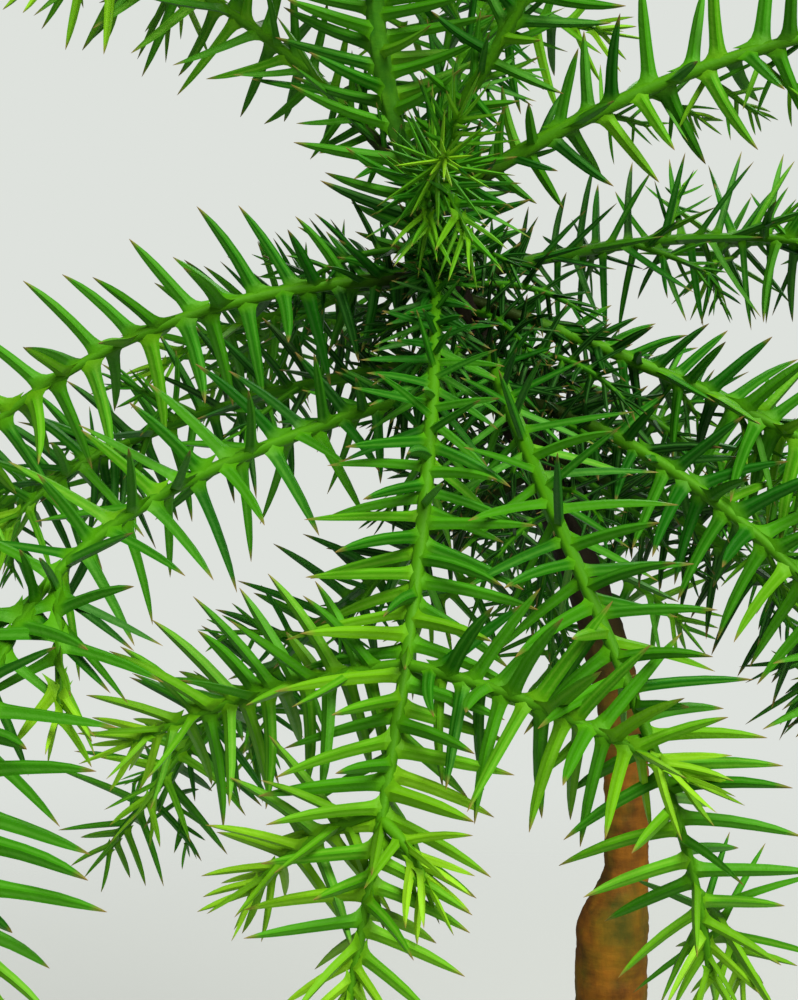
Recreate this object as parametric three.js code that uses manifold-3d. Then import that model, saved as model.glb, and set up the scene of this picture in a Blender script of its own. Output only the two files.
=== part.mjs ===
// A young araucaria grown as a kokedama: a leaning trunk with whorls of arching, needled
// branches, rooted in a ball of soil and moss that is bound with twine.
// Millimetres, +Z up. The origin is the centre of the moss ball's flat underside.

import * as THREE from 'three';
import { mergeVertices } from 'three/addons/utils/BufferGeometryUtils.js';
import Module from 'manifold-3d';

const wasm = await Module();
wasm.setup();

// Driving dimensions

const CLEARANCE = 0.3;        // gap between solids that touch
const GOLDEN_ANGLE = 137.5;   // turn from one needle to the next, in degrees

const BALL = {
  radius: 65,                 // half the widest part
  halfHeight: 58,             // half the height of the full round form
  underside: 41,              // radius of the flat that it stands on
  seat: 14,                   // radius of the level spot that the trunk stands on
  lump: 0.012,                // hand-pressed unevenness, as a share of the radius
  slices: 24,
  rings: 9,
};

const TWINE = {
  radius: 0.9,
  clearance: 0.5,             // from the round form of the ball to the twine
  sides: 4,
  steps: 30,
  turns: [                    // tilt of each turn and the side on which it climbs
    { tilt: 36, climbs: 20 },
    { tilt: 32, climbs: 142 },
    { tilt: 37, climbs: 265 },
  ],
};

const TRUNK = {
  top: 385,
  radius: 3.8,                // of the bare stem above the old shoulder
  taper: 2.3,                 // lost through the whorls of boughs
  taperLow: 215,
  taperHigh: 305,
  tip: 0.3,                   // lost from there to the top
  flare: 3.0,                 // gained at the foot
  shoulder: 2.4,              // gained below the old shoulder
  shoulderLow: 160,
  shoulderHigh: 172,
  lean: 44,                   // sideways reach of the lean, towards -X
  leanLow: 185,
  leanHigh: 325,
  straighten: 3,              // the tip stands up again
  back: 3,                    // drift away from the viewer
  sides: 9,
  steps: 28,
};

// `seat` is how far the corners of a root end stand off the round bark, so that the flats
// between them are clear of it
const BOUGH = { root: 1.55, tip: 1.35, sides: 6, steps: 3, seat: 0.45 };
const STEM = { root: 1.35, tip: 0.6, sides: 3, steps: 6, seat: 0.9 };
const SIDE_STEM = { root: 1.1, tip: 0.5, sides: 3, steps: 3, leaves: 58, droop: 30 };
const SPINE_STEPS = 24;

const NEEDLE = {
  length: 17.5,
  sunk: 0.2,                  // how far its root lies past the stem's axis
  belt: 3.2,                  // where it is thickest, from the stem's axis
  height: 4.2,                // across the belt, in line with the stem
  width: 2.7,                 // across the belt, round the stem
  spread: 78,                 // from the stem's own direction, in degrees
  pitch: 7.0,                 // length of stem for each needle
  youngLength: 16,            // stretch before the tip where needles shorten
  youngScale: 0.55,
  youngSpread: 34,
  reach: 1.3,                 // radius kept free round a needle of another shoot
  limbTurn: 47,               // turn between the first needles of one limb and the next
  sideTurn: 60,               // and between those of a side shoot and its limb
};

const TRUNK_NEEDLES = { from: 296, pitch: 4.4 };
const BUD = { back: 2.5, length: 10 };  // the last needle, in line with the tip

// Whorls from the lowest up. A limb is given by its height on the trunk, its direction
// round it (0 is +X, 90 away from the viewer), its length, its rise at the root and at
// the tip, how early it bends, how far it swings round, and the length that is bare.
// `pairs` are opposite side shoots, `fork` lists single ones, and `split` is where a limb
// that hangs is divided at its bend. `at` and `split` are shares of the length, `leaves`
// is the angle between a side shoot and its limb, `droop` how far it bends down, and `way`
// the side that it is on.

const WHORLS = {
  first: [
    { z: 253, azimuth: 336, length: 110, rise: -11, fall: -62, bend: 0.7, bare: 14,
      pairs: [{ at: 0.62, length: 26 }] },
    { z: 243, azimuth: 15, length: 112, rise: -20, fall: -65, bare: 16,
      pairs: [{ at: 0.55, length: 34 }] },
    { z: 240, azimuth: 85, length: 112, rise: -10, fall: -50, bare: 16,
      pairs: [{ at: 0.5, length: 36 }] },
    { z: 240, azimuth: 158, length: 112, rise: -32, fall: -52, bare: 16,
      pairs: [{ at: 0.6, length: 30 }] },
  ],
  second: [
    { z: 258, azimuth: 215, length: 165, rise: -13, fall: -80, bend: 3, swing: 90, bare: 15,
      split: 0.62, fork: [{ at: 0.57, length: 26, leaves: 32, droop: 45, way: 1 },
        { at: 0.8, length: 20, way: -1 }] },
    { z: 263, azimuth: 275, length: 132, rise: -10, fall: -84, bend: 1.15, swing: 74, bare: 12,
      fork: [{ at: 0.91, length: 24, way: 1 }] },
    { z: 270, azimuth: 350, length: 111, rise: -17, fall: -33, bend: 0.8, bare: 12 },
    { z: 258, azimuth: 50, length: 116, rise: -5, fall: -45, bare: 14,
      pairs: [{ at: 0.55, length: 36 }] },
    { z: 260, azimuth: 165, length: 112, rise: -5, fall: -35, bare: 14,
      pairs: [{ at: 0.58, length: 32 }] },
  ],
  third: [
    { z: 274, azimuth: 189, length: 104, rise: 0, fall: -53, bend: 1.2, bare: 12 },
    { z: 281, azimuth: 270, length: 144, rise: 19, fall: -73, bend: 0.3, swing: -39, bare: 10,
      split: 0.4, pairs: [{ at: 0.65, length: 44, leaves: 80, droop: 18 }],
      fork: [{ at: 0.8, length: 24, leaves: 70, way: -1 }, { at: 0.81, length: 11, leaves: 60, way: 1 }] },
    { z: 274, azimuth: 38, length: 116, rise: 12, fall: -8, bare: 12,
      pairs: [{ at: 0.6, length: 30 }] },
    { z: 272, azimuth: 118, length: 108, rise: 5, fall: -30, bare: 12,
      pairs: [{ at: 0.55, length: 32 }] },
  ],
  fourth: [
    { z: 287, azimuth: 275, length: 38, rise: 16, fall: 2, bare: 8, pitch: 4 },
    { z: 286, azimuth: 357, length: 98, rise: 35, fall: 5, bare: 12 },
    { z: 294, azimuth: 325, length: 78, rise: 38, fall: 75, bend: 0.7, bare: 10 },
    { z: 292, azimuth: 150, length: 96, rise: 48, fall: 10, bare: 10,
      pairs: [{ at: 0.62, length: 26 }] },
    { z: 290, azimuth: 75, length: 88, rise: 40, fall: 22, bare: 10,
      pairs: [{ at: 0.6, length: 26 }] },
  ],
  fifth: [
    { z: 335, azimuth: 30, length: 68, rise: 42, fall: 20 },
    { z: 338, azimuth: 102, length: 64, rise: 42, fall: 20 },
    { z: 336, azimuth: 174, length: 68, rise: 42, fall: 20 },
    { z: 339, azimuth: 246, length: 64, rise: 42, fall: 20 },
    { z: 334, azimuth: 318, length: 68, rise: 42, fall: 20 },
  ],
  sixth: [
    { z: 366, azimuth: 60, length: 42, rise: 52, fall: 34 },
    { z: 369, azimuth: 150, length: 38, rise: 52, fall: 34 },
    { z: 367, azimuth: 240, length: 42, rise: 52, fall: 34 },
    { z: 368, azimuth: 330, length: 38, rise: 52, fall: 34 },
  ],
};

const LEADER = { length: 46, azimuth: 20, rise: 86, fall: 80, pitch: 4.4 };

// Materials

const material = (color, roughness) => new THREE.MeshStandardMaterial({ color, roughness, metalness: 0 });
const MATERIALS = {
  bark: material(0x8a5226, 0.85),
  young: material(0x5f9a22, 0.6),
  needles: material(0x2f7d26, 0.5),
  moss: material(0x55702a, 1),
  twine: material(0xb3925c, 0.9),
};

// Small helpers

const radians = THREE.MathUtils.degToRad;
const smooth = (low, high, value) => THREE.MathUtils.smoothstep(value, low, high);
const mix = THREE.MathUtils.lerp;

const BALL_CENTRE = BALL.halfHeight * Math.sqrt(1 - (BALL.underside / BALL.radius) ** 2);
const BALL_TOP = BALL_CENTRE + BALL.halfHeight * Math.sqrt(1 - (BALL.seat / BALL.radius) ** 2);
const FOOT = BALL_TOP + CLEARANCE;

function trunkPoint(z) {
  const x = TRUNK.shoulder * smooth(TRUNK.shoulderLow, TRUNK.shoulderHigh, z)
    - TRUNK.lean * smooth(TRUNK.leanLow, TRUNK.leanHigh, z)
    + TRUNK.straighten * smooth(TRUNK.leanHigh, TRUNK.top, z);
  const y = TRUNK.back * smooth(TRUNK.leanLow, TRUNK.leanHigh, z);
  return new THREE.Vector3(x, y, z);
}

function trunkRadius(z) {
  return TRUNK.radius
    - TRUNK.taper * smooth(TRUNK.taperLow, TRUNK.taperHigh, z)
    - TRUNK.tip * smooth(TRUNK.taperHigh, TRUNK.top, z)
    + TRUNK.shoulder * (1 - smooth(TRUNK.shoulderLow, TRUNK.shoulderHigh, z))
    + TRUNK.flare * (1 - smooth(FOOT, FOOT + 30, z));
}

// A direction given by its azimuth and rise, with the two directions across it
function frameAt(azimuth, rise) {
  const a = radians(azimuth);
  const e = radians(rise);
  const along = new THREE.Vector3(Math.cos(e) * Math.cos(a), Math.cos(e) * Math.sin(a), Math.sin(e));
  const side = new THREE.Vector3(-Math.sin(a), Math.cos(a), 0);
  const under = new THREE.Vector3().crossVectors(side, along);
  return { along, side, under };
}

// The line of a limb: stations at even steps, each with its place and directions
function spine(start, limb) {
  const { azimuth, rise, fall, length, bend = 1, swing = 0 } = limb;
  const frame = (u) => frameAt(azimuth + swing * u * u, rise + (fall - rise) * u ** bend);
  const point = start.clone();
  const stations = [];
  for (let i = 0; i <= SPINE_STEPS; i++) {
    stations.push({ point: point.clone(), ...frame(i / SPINE_STEPS) });
    point.addScaledVector(frame((i + 0.5) / SPINE_STEPS).along, length / SPINE_STEPS);
  }
  return { stations, length };
}

function stationAt({ stations, length }, distance) {
  const place = Math.min(Math.max(distance / length, 0), 1) * (stations.length - 1);
  const low = Math.min(Math.floor(place), stations.length - 2);
  const blend = (key) => stations[low][key].clone().lerp(stations[low + 1][key], place - low);
  return {
    point: blend('point'),
    along: blend('along').normalize(),
    side: blend('side').normalize(),
    under: blend('under').normalize(),
  };
}

// Solids

function remap(geometry, place) {
  geometry.deleteAttribute('normal');
  geometry.deleteAttribute('uv');
  const merged = mergeVertices(geometry);
  const position = merged.attributes.position;
  const vertex = new THREE.Vector3();
  for (let i = 0; i < position.count; i++) {
    vertex.fromBufferAttribute(position, i);
    position.setXYZ(i, ...place(vertex).toArray());
  }
  return merged;
}

// A round limb bent along stations, with its radius given at each share of its length
// and its root end shaped to the bark where it meets the trunk
function taperedLimb(stationOf, radiusOf, { sides, steps, seat }, meetsTrunk = false) {
  return remap(new THREE.CylinderGeometry(1, 1, 1, sides, steps), (vertex) => {
    const share = vertex.y + 0.5;
    const { point, along, side, under } = stationOf(share);
    const radius = radiusOf(share);
    point.addScaledVector(side, vertex.x * radius).addScaledVector(under, vertex.z * radius);
    return meetsTrunk && share < 0.01 ? slideToBark(point, along, seat) : point;
  });
}

function limbBetween(line, from, to, form) {
  return taperedLimb((share) => stationAt(line, mix(from, to, share)),
    (share) => mix(form.root, form.tip, share), form, from === 0 && line.meetsTrunk);
}

// One needle: a long keeled spindle of eight faces, thickest near its root
function needleSolid({ root, axis, across }, length) {
  const keel = new THREE.Vector3().crossVectors(across, axis);
  return remap(new THREE.OctahedronGeometry(1), (vertex) => {
    const along = vertex.y > 0.5 ? length : vertex.y < -0.5 ? -NEEDLE.sunk : NEEDLE.belt;
    return root.clone().addScaledVector(axis, along)
      .addScaledVector(across, vertex.x * NEEDLE.width / 2)
      .addScaledVector(keel, vertex.z * NEEDLE.height / 2);
  });
}

function toManifold(geometry) {
  return new wasm.Manifold(new wasm.Mesh({
    numProp: 3,
    vertProperties: new Float32Array(geometry.attributes.position.array),
    triVerts: new Uint32Array(geometry.index.array),
  }));
}

function fused(geometries) {
  const solid = geometries.map(toManifold).reduce((sum, next) => sum.add(next));
  const { vertProperties, triVerts } = solid.getMesh();
  const geometry = new THREE.BufferGeometry();
  geometry.setAttribute('position', new THREE.BufferAttribute(vertProperties, 3));
  geometry.setIndex(new THREE.BufferAttribute(triVerts, 1));
  return geometry;
}

// What is already taken up, as rods: each has two ends, a radius and an owner

const ROD_LENGTH = 8;         // longest rod that stands for a piece of a bent limb
const taken = [];

function takeLine(line, from, to, radius, owner) {
  const pieces = Math.max(2, Math.ceil((to - from) / ROD_LENGTH));
  for (let i = 0; i < pieces; i++) {
    const a = stationAt(line, mix(from, to, i / pieces)).point;
    const b = stationAt(line, mix(from, to, (i + 1) / pieces)).point;
    taken.push({ a, b, radius, owner });
  }
}

function rodDistance(a, b, c, d) {
  const u = b.clone().sub(a);
  const v = d.clone().sub(c);
  const w = a.clone().sub(c);
  const uu = u.dot(u);
  const uv = u.dot(v);
  const vv = v.dot(v);
  const uw = u.dot(w);
  const vw = v.dot(w);
  const clamp = (value) => Math.min(Math.max(value, 0), 1);
  const spread = uu * vv - uv * uv;
  let s = spread > 1e-9 ? clamp((uv * vw - vv * uw) / spread) : 0;
  const t = clamp((uv * s + vw) / vv);
  s = clamp((uv * t - uw) / uu);
  return a.clone().addScaledVector(u, s).distanceTo(c.clone().addScaledVector(v, t));
}

function isFree(a, b, owner) {
  return taken.every((rod) => rod.owner === owner
    || rodDistance(a, b, rod.a, rod.b) > rod.radius + NEEDLE.reach + CLEARANCE);
}

// Needles set round a line in a spiral; any that would touch another limb is left out
function needlesAlong(line, from, to, owner, { pitch = NEEDLE.pitch, turn = 0, ageing = true } = {}) {
  const needles = [];
  for (let i = 0, at = from; at < to; i++, at += pitch) {
    const { point, along, side, under } = stationAt(line, at);
    const young = ageing ? 1 - smooth(0, NEEDLE.youngLength, to - at) : 0;
    const length = NEEDLE.length * mix(1, NEEDLE.youngScale, young);
    const spread = radians(mix(NEEDLE.spread, NEEDLE.youngSpread, young));
    const around = radians(turn + i * GOLDEN_ANGLE);
    const out = side.clone().multiplyScalar(Math.cos(around)).addScaledVector(under, Math.sin(around));
    const axis = along.clone().multiplyScalar(Math.cos(spread)).addScaledVector(out, Math.sin(spread));
    const across = new THREE.Vector3().crossVectors(along, out).normalize();
    addNeedle(needles, { root: point, axis, across }, length, owner);
  }
  return needles;
}

function budAt(line, at, owner) {
  const { point, along, side } = stationAt(line, at);
  const root = point.addScaledVector(along, -BUD.back);
  const needles = [];
  addNeedle(needles, { root, axis: along, across: side }, BUD.length, owner);
  return needles;
}

function addNeedle(needles, place, length, owner) {
  const start = place.root.clone().addScaledVector(place.axis, NEEDLE.belt / 2);
  const end = place.root.clone().addScaledVector(place.axis, length);
  if (!isFree(start, end, owner)) return;
  taken.push({ a: start, b: end, radius: NEEDLE.reach, owner });
  needles.push(needleSolid(place, length));
}

// Layout: the line of every limb and side shoot, and the stretch that each node holds

const trunkLine = (() => {
  const steps = TRUNK.steps;
  const stations = [];
  for (let i = 0; i <= steps; i++) {
    const point = trunkPoint(mix(FOOT, TRUNK.top, i / steps));
    stations.push({ point, ...frameAt(0, 90) });
  }
  return { stations, length: TRUNK.top - FOOT };
})();

// How far a point lies outside the trunk's bark
function trunkGap(point) {
  const lean = trunkPoint(point.z + 1).sub(trunkPoint(point.z - 1)).setZ(0).length() / 2;
  const out = point.clone().sub(trunkPoint(point.z)).setZ(0).length();
  return out / Math.hypot(1, lean) - trunkRadius(point.z);
}

// Slides a point along a direction until it is clear of the bark by a given gap
function slideToBark(point, along, clear = CLEARANCE) {
  const probe = 0.1;
  const rounds = 8;
  const leastSlope = 0.3;     // keeps a round from overshooting where the way out is oblique
  for (let i = 0; i < rounds; i++) {
    const gap = trunkGap(point);
    const slope = (trunkGap(point.clone().addScaledVector(along, probe)) - gap) / probe;
    point.addScaledVector(along, (clear - gap) / Math.max(slope, leastSlope));
  }
  return point;
}

function limbLine(limb) {
  const { along } = frameAt(limb.azimuth, limb.rise);
  const start = trunkPoint(limb.z).addScaledVector(frameAt(limb.azimuth, 0).along, trunkRadius(limb.z));
  return { ...spine(slideToBark(start, along), limb), meetsTrunk: true };
}

function sideLine(parent, side) {
  const { at, length, way, leaves = SIDE_STEM.leaves, droop = SIDE_STEM.droop } = side;
  const station = stationAt(parent, at);
  const angle = radians(leaves);
  const heading = station.along.multiplyScalar(Math.cos(angle))
    .addScaledVector(station.side, way * Math.sin(angle));
  const azimuth = THREE.MathUtils.radToDeg(Math.atan2(heading.y, heading.x));
  const rise = THREE.MathUtils.radToDeg(Math.asin(heading.z));
  return spine(station.point, { azimuth, rise, fall: rise - droop, length });
}

function sideShoots(limb) {
  const both = (limb.pairs ?? []).flatMap((pair) => [{ ...pair, way: 1 }, { ...pair, way: -1 }]);
  return [...both, ...(limb.fork ?? [])];
}

const limbs = Object.entries(WHORLS).flatMap(([whorl, members]) => members.map((limb, i) => {
  const line = limbLine(limb);
  const bare = limb.bare ?? 0;
  const name = `${whorl}_shoot_${i + 1}`;
  const start = bare ? bare + CLEARANCE : 0;
  const bend = limb.split ? limb.split * limb.length : limb.length;
  const shoots = [{ name, from: start, to: bend }];
  if (limb.split) shoots.push({ name: `${name}_hanging`, from: bend + CLEARANCE, to: limb.length });
  for (const shoot of shoots) {
    shoot.line = line;
    shoot.pitch = limb.pitch;
    shoot.isTip = shoot.to === limb.length;
    shoot.sides = sideShoots(limb)
      .map((side) => ({ ...side, at: side.at * limb.length }))
      .filter(({ at }) => at > shoot.from && at < shoot.to)
      .map((side) => ({ ...side, line: sideLine(line, side) }));
  }
  return { boughName: bare ? `${whorl}_bough_${i + 1}` : null, bare, line, shoots };
}));

const leaderLine = spine(trunkPoint(TRUNK.top + CLEARANCE), LEADER);
limbs.push({
  boughName: null,
  bare: 0,
  line: leaderLine,
  shoots: [{ name: 'leader', from: 0, to: LEADER.length, line: leaderLine, isTip: true, sides: [],
    pitch: LEADER.pitch }],
});

takeLine(trunkLine, 0, trunkLine.length, TRUNK.radius, 'trunk');
for (const { boughName, bare, line, shoots } of limbs) {
  if (boughName) takeLine(line, 0, bare, BOUGH.root, boughName);
  for (const shoot of shoots) {
    takeLine(line, shoot.from, shoot.to, STEM.root, shoot.name);
    for (const side of shoot.sides) takeLine(side.line, 0, side.length, SIDE_STEM.root, shoot.name);
  }
}

// Nodes

const plant = new THREE.Group();

function addPart(name, geometry, finish) {
  const mesh = new THREE.Mesh(geometry, finish);
  mesh.name = name;
  plant.add(mesh);
}

function lumpAt(azimuth, latitude) {
  const uneven = Math.sin(3 * azimuth + 2 * latitude) + 0.7 * Math.sin(5 * azimuth - 3 * latitude + 1);
  return 1 + BALL.lump * uneven * Math.cos(latitude);
}

function ballPoint(azimuth, latitude, outwards = 0) {
  const r = (BALL.radius * lumpAt(azimuth, latitude) + outwards) * Math.cos(latitude);
  const z = BALL_CENTRE + (BALL.halfHeight + outwards) * Math.sin(latitude);
  return new THREE.Vector3(r * Math.cos(azimuth), r * Math.sin(azimuth), z);
}

function mossBall() {
  const low = -Math.acos(BALL.underside / BALL.radius);
  const high = Math.acos(BALL.seat / BALL.radius);
  const profile = [new THREE.Vector2(0, 0)];
  for (let i = 0; i <= BALL.rings; i++) {
    const latitude = mix(low, high, i / BALL.rings);
    profile.push(new THREE.Vector2(1, latitude));
  }
  profile.push(new THREE.Vector2(0, 1));
  return remap(new THREE.LatheGeometry(profile, BALL.slices), (vertex) => {
    if (Math.hypot(vertex.x, vertex.z) < 0.5) return new THREE.Vector3(0, 0, vertex.y > 0.5 ? BALL_TOP : 0);
    return ballPoint(Math.atan2(vertex.x, vertex.z), vertex.y);
  });
}

function twineTurn({ tilt, climbs }) {
  const slope = Math.tan(radians(tilt)) * BALL.radius / BALL.halfHeight;
  const centreAt = (azimuth) => ballPoint(azimuth,
    Math.atan(slope * Math.cos(azimuth - radians(climbs))), TWINE.clearance + TWINE.radius);
  const loop = 10;            // radius of the ring that is bent into the turn
  const probe = 0.02;         // in radians, to either side, for the twine's direction
  return remap(new THREE.TorusGeometry(loop, 1, TWINE.sides, TWINE.steps), (vertex) => {
    const azimuth = Math.atan2(vertex.y, vertex.x);
    const centre = centreAt(azimuth);
    const forward = centreAt(azimuth + probe).sub(centreAt(azimuth - probe)).normalize();
    const middle = new THREE.Vector3(0, 0, BALL_CENTRE);
    const across = new THREE.Vector3().crossVectors(centre.clone().sub(middle), forward).normalize();
    const outwards = new THREE.Vector3().crossVectors(forward, across);
    const away = Math.hypot(vertex.x, vertex.y) - loop;
    return centre.addScaledVector(outwards, away * TWINE.radius).addScaledVector(across, vertex.z * TWINE.radius);
  });
}

function trunk() {
  const heightAt = (share) => mix(FOOT, TRUNK.top, share);
  const stem = taperedLimb((share) => stationAt(trunkLine, share * trunkLine.length),
    (share) => trunkRadius(heightAt(share)), TRUNK);
  const from = TRUNK_NEEDLES.from - FOOT;
  const needles = needlesAlong(trunkLine, from, trunkLine.length - TRUNK_NEEDLES.pitch, 'trunk',
    { pitch: TRUNK_NEEDLES.pitch, ageing: false });
  return fused([stem, ...needles]);
}

function shootSolid({ name, line, from, to, sides, isTip, pitch }, turn) {
  const needleFrom = from + NEEDLE.belt + CLEARANCE;
  const needleTo = isTip ? to : to - NEEDLE.belt;
  const pieces = [limbBetween(line, from, to, STEM)];
  pieces.push(...needlesAlong(line, needleFrom, needleTo, name, { pitch, turn, ageing: isTip }));
  if (isTip) pieces.push(...budAt(line, to, name));
  for (const side of sides) {
    pieces.push(limbBetween(side.line, 0, side.length, SIDE_STEM));
    pieces.push(...needlesAlong(side.line, NEEDLE.pitch, side.length, name, { turn: turn + NEEDLE.sideTurn }));
    pieces.push(...budAt(side.line, side.length, name));
  }
  return fused(pieces);
}

addPart('moss_ball', mossBall(), MATERIALS.moss);
addPart('twine', fused(TWINE.turns.map(twineTurn)), MATERIALS.twine);
addPart('trunk', trunk(), MATERIALS.bark);
limbs.forEach(({ boughName, bare, line, shoots }, i) => {
  if (boughName) addPart(boughName, limbBetween(line, 0, bare, BOUGH), MATERIALS.young);
  for (const shoot of shoots) addPart(shoot.name, shootSolid(shoot, i * NEEDLE.limbTurn), MATERIALS.needles);
});

export default plant;
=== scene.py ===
"""Looks for an araucaria kokedama: a leaning trunk with whorls of arching, needled
branches, rooted in a ball of moss that is bound with twine.

Lengths in the growth rules are millimetres, as in the part's source. Meshes are metres.
"""

import math
from dataclasses import dataclass, field

import bmesh
import bpy
import numpy as np
from bpy.props import FloatProperty, FloatVectorProperty, IntProperty, PointerProperty
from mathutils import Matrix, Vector, noise


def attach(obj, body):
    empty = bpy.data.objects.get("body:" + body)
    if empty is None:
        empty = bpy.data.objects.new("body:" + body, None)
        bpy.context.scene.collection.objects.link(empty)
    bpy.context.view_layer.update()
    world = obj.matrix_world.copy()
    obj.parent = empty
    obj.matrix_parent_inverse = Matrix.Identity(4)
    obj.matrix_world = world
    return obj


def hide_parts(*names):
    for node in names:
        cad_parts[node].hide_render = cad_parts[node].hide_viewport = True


bl_info = {
    "name": "Araucaria Kokedama",
    "version": (1, 0, 0),
    "blender": (4, 5, 0),
    "location": "3D View > Sidebar > Kokedama",
    "description": "Grows bark, stems, needles, moss and twine over the packed solids",
    "category": "Add Mesh",
}

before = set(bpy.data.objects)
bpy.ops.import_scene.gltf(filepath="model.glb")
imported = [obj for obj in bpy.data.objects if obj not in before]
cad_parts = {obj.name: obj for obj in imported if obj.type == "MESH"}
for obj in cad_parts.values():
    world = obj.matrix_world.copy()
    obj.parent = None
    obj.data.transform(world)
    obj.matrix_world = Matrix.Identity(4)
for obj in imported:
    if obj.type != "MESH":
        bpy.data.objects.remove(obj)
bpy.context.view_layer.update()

MM = 0.001
GOLDEN_ANGLE = 137.5
BAKED_MAP = "OFBake"
BLACK, WHITE = (0, 0, 0), (1, 1, 1)

BALL = {"radius": 65, "half_height": 58, "underside": 41, "seat": 14, "lump": 0.012}
BALL_CENTRE = BALL["half_height"] * math.sqrt(1 - (BALL["underside"] / BALL["radius"]) ** 2)
BALL_TOP = BALL_CENTRE + BALL["half_height"] * math.sqrt(1 - (BALL["seat"] / BALL["radius"]) ** 2)
# The ground under the moss: how deep the twine presses it in and at what distances, and the flat
# seat of the trunk's foot: its depth, the height below the ball's top at which it starts and
# the radii between which it ends
GROUND = {"subdivisions": 7, "groove": 0.5, "groove_ends": (0.8, 3.5),
          "seat_deep": 0.3, "seat_starts": 0.8, "seat_ends": (7, 17)}
# Heights of the moss cushions and of the fine lumps on them, how closely both stand, and the
# distances from the twine and from the floor over which they rise
CUSHIONS = {"high": 2.5, "wide": 0.62, "sunk": 0.6, "spacing": 0.085, "lump": 0.7, "finer": 0.42,
            "from_twine": (1.5, 6), "from_floor": (0, 6)}
# Sprigs of moss grow between two heights, shares of the ball's own, in a spiral that they stray
# from. They lean at random, a little upright, and are shorter by the twine. None stands too near
# to the twine, the floor or the trunk's foot. Tints lie in patches.
SPRIGS = {
    "seed": 21, "lowest": -0.775, "highest": 0.985, "stray": 0.02, "lean": 0.42, "upright": 0.1,
    "root_deep": 0.5, "lengths": (0.55, 1.25), "by_twine": 0.45, "grown": (1.2, 3.2),
    "bare_twine": 1.0, "bare_foot": 7.2, "lowest_root": 0.6, "lowest_tip": 0.2,
    "patch": 0.05, "patchy": 0.9, "uneven": 0.2, "thick": 0.16, "bowed": 0.12,
}
# Leaves of a sprig: how far each leans out, its turn and its size
SPRIG_LEAVES = ((0.0, 0.0, 1.0), (0.5, 0.7, 0.8), (-0.6, 3.6, 0.7))

# Each turn of twine has a tilt and the azimuth that it climbs towards, and `over` lifts it where
# it comes as near to another as `crossing`. `lay` is the length of one full twist of its strands,
# `apart` how far they lie from its middle, as a share of their radius, `fibre` the height, number
# and run of their ridges, and `slub` how unevenly thick they are.
TWINE = {
    "radius": 0.9, "clearance": 0.5, "turns": ((36, 20), (32, 142), (37, 265)), "over": 1.7,
    "crossing": (1.0, 5.5), "strands": 3, "lay": 4.6, "sides": 7, "steps": 720, "apart": 0.98,
    "fibre": (0.1, 3, 1.3), "slub": (0.06, 0.37),
}

FOOT = BALL_TOP + 0.3
TRUNK = {
    "top": 385, "radius": 3.8, "taper": 2.3, "taper_low": 215, "taper_high": 305, "tip": 0.3,
    "flare": 3.0, "flare_height": 30, "shoulder": 2.4, "shoulder_low": 160, "shoulder_high": 172,
    "lean": 44, "lean_low": 185, "lean_high": 325, "straighten": 3, "back": 3,
}
# Sides and rings of the trunk's surface, heights between which bark gives way to leaf bases,
# the foot's flutes, each with its depth, number and start, its toes, the heights over the foot
# between which both end, how finely flakes and bands vary across and up the trunk, and the
# height of leaf bases on green and on old bark
BARK = {
    "sides": 48, "rings": 420, "sunk": 1.6, "past": 0.4, "old_below": 272, "green_above": 300,
    "flutes": ((1.1, 4, 0.6), (0.6, 7, 2.0)), "flutes_end": (-2, 16),
    "toes": 2.6, "toes_end": (-1, 7),
    "flake": 0.9, "flakes": (0.45, 0.45, 0.22), "band": 1.2, "bands": (0.12, 0.12, 0.55),
    "green_base": 0.4, "old_base": 0.15,
}
# Sides of a stem's tube, distance between its rings, how far it runs past its length and over
# what stretch its tip closes, how far its surface lies below and leaf bases stand above, and
# the least radius
STEM = {"sides": 12, "ring": 0.8, "past": 0.6, "closing": 2.5, "below": 0.05, "base": 0.13,
        "least": 0.02}
# Millimetres of stem that the map's v covers, and of old stem next to the trunk, and how much
# brighter than its needles a stem is
STEM_MAP = {"length": 210, "old": 20, "brighter": 1.4}
# Leaf bases: how far each starts ahead of its needle and runs back and forward, and its width
LEAF_BASE = {"ahead": 0.4, "back": 8, "forward": 2, "width": 0.75}
# Girths of a stem and of the trunk, by which the leaf bases' width is measured
STEM_GIRTH, TRUNK_GIRTH = 1.1, 2.4

# Where the photograph was taken from, in metres and degrees, for a frame of 798 by 1000
CAMERA = {"x": -0.0374, "away": 0.400, "aim_height": 0.236, "pitch": 6, "focal_pixels": 2320}
FRAME_HEIGHT = 1000
SENSOR = 36
# Soft lights by their setting: place, width and colour
LIGHTS = {
    "key": ((0.95, -1.75, 2.3), 2.1, (1.0, 0.99, 0.96)),
    "fill": ((-1.1, -0.7, 0.6), 1.0, (0.97, 0.99, 1.0)),
    "rim": ((0.5, 1.1, 0.95), 1.0, (1.0, 1.0, 1.0)),
}
LIT_PLACE = (-0.03, 0.0, 0.24)


# Growth table


@dataclass
class Side:
    """A side shoot: where it leaves its limb, as a share of the length, its own length and
    the side it leaves to. `fresh` is how much lighter it is than its limb."""

    at: float
    length: float
    way: int
    leaves: float = 58
    droop: float = 30
    roll: float = 0
    fresh: float = 0.1


def pair(at, length, **more):
    return [Side(at, length, way, **more) for way in (1, -1)]


@dataclass
class Limb:
    """A limb: its height and azimuth at the trunk, its length, its rise where it starts and
    ends, and its tint, from the deep green of old growth in the shade, at 0, to the yellow
    green of new growth in the light, at 1. The tint holds painted shade as well as age: limbs
    behind the trunk have low tints, which paint their shade. `bend` is the power by which the
    rise changes along it, `swing` how far it turns, `sprays` counts its fine twigs, `winding`
    is the turn from one to the next, and `rule` holds what differs from the rule for its kind."""

    z: float
    azimuth: float
    length: float
    rise: float
    fall: float
    tint: float
    bend: float = 1.0
    swing: float = 0.0
    bough: bool = True
    sprays: int = 0
    winding: float = GOLDEN_ANGLE
    sides: tuple = ()
    rule: dict = field(default_factory=dict)


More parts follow.
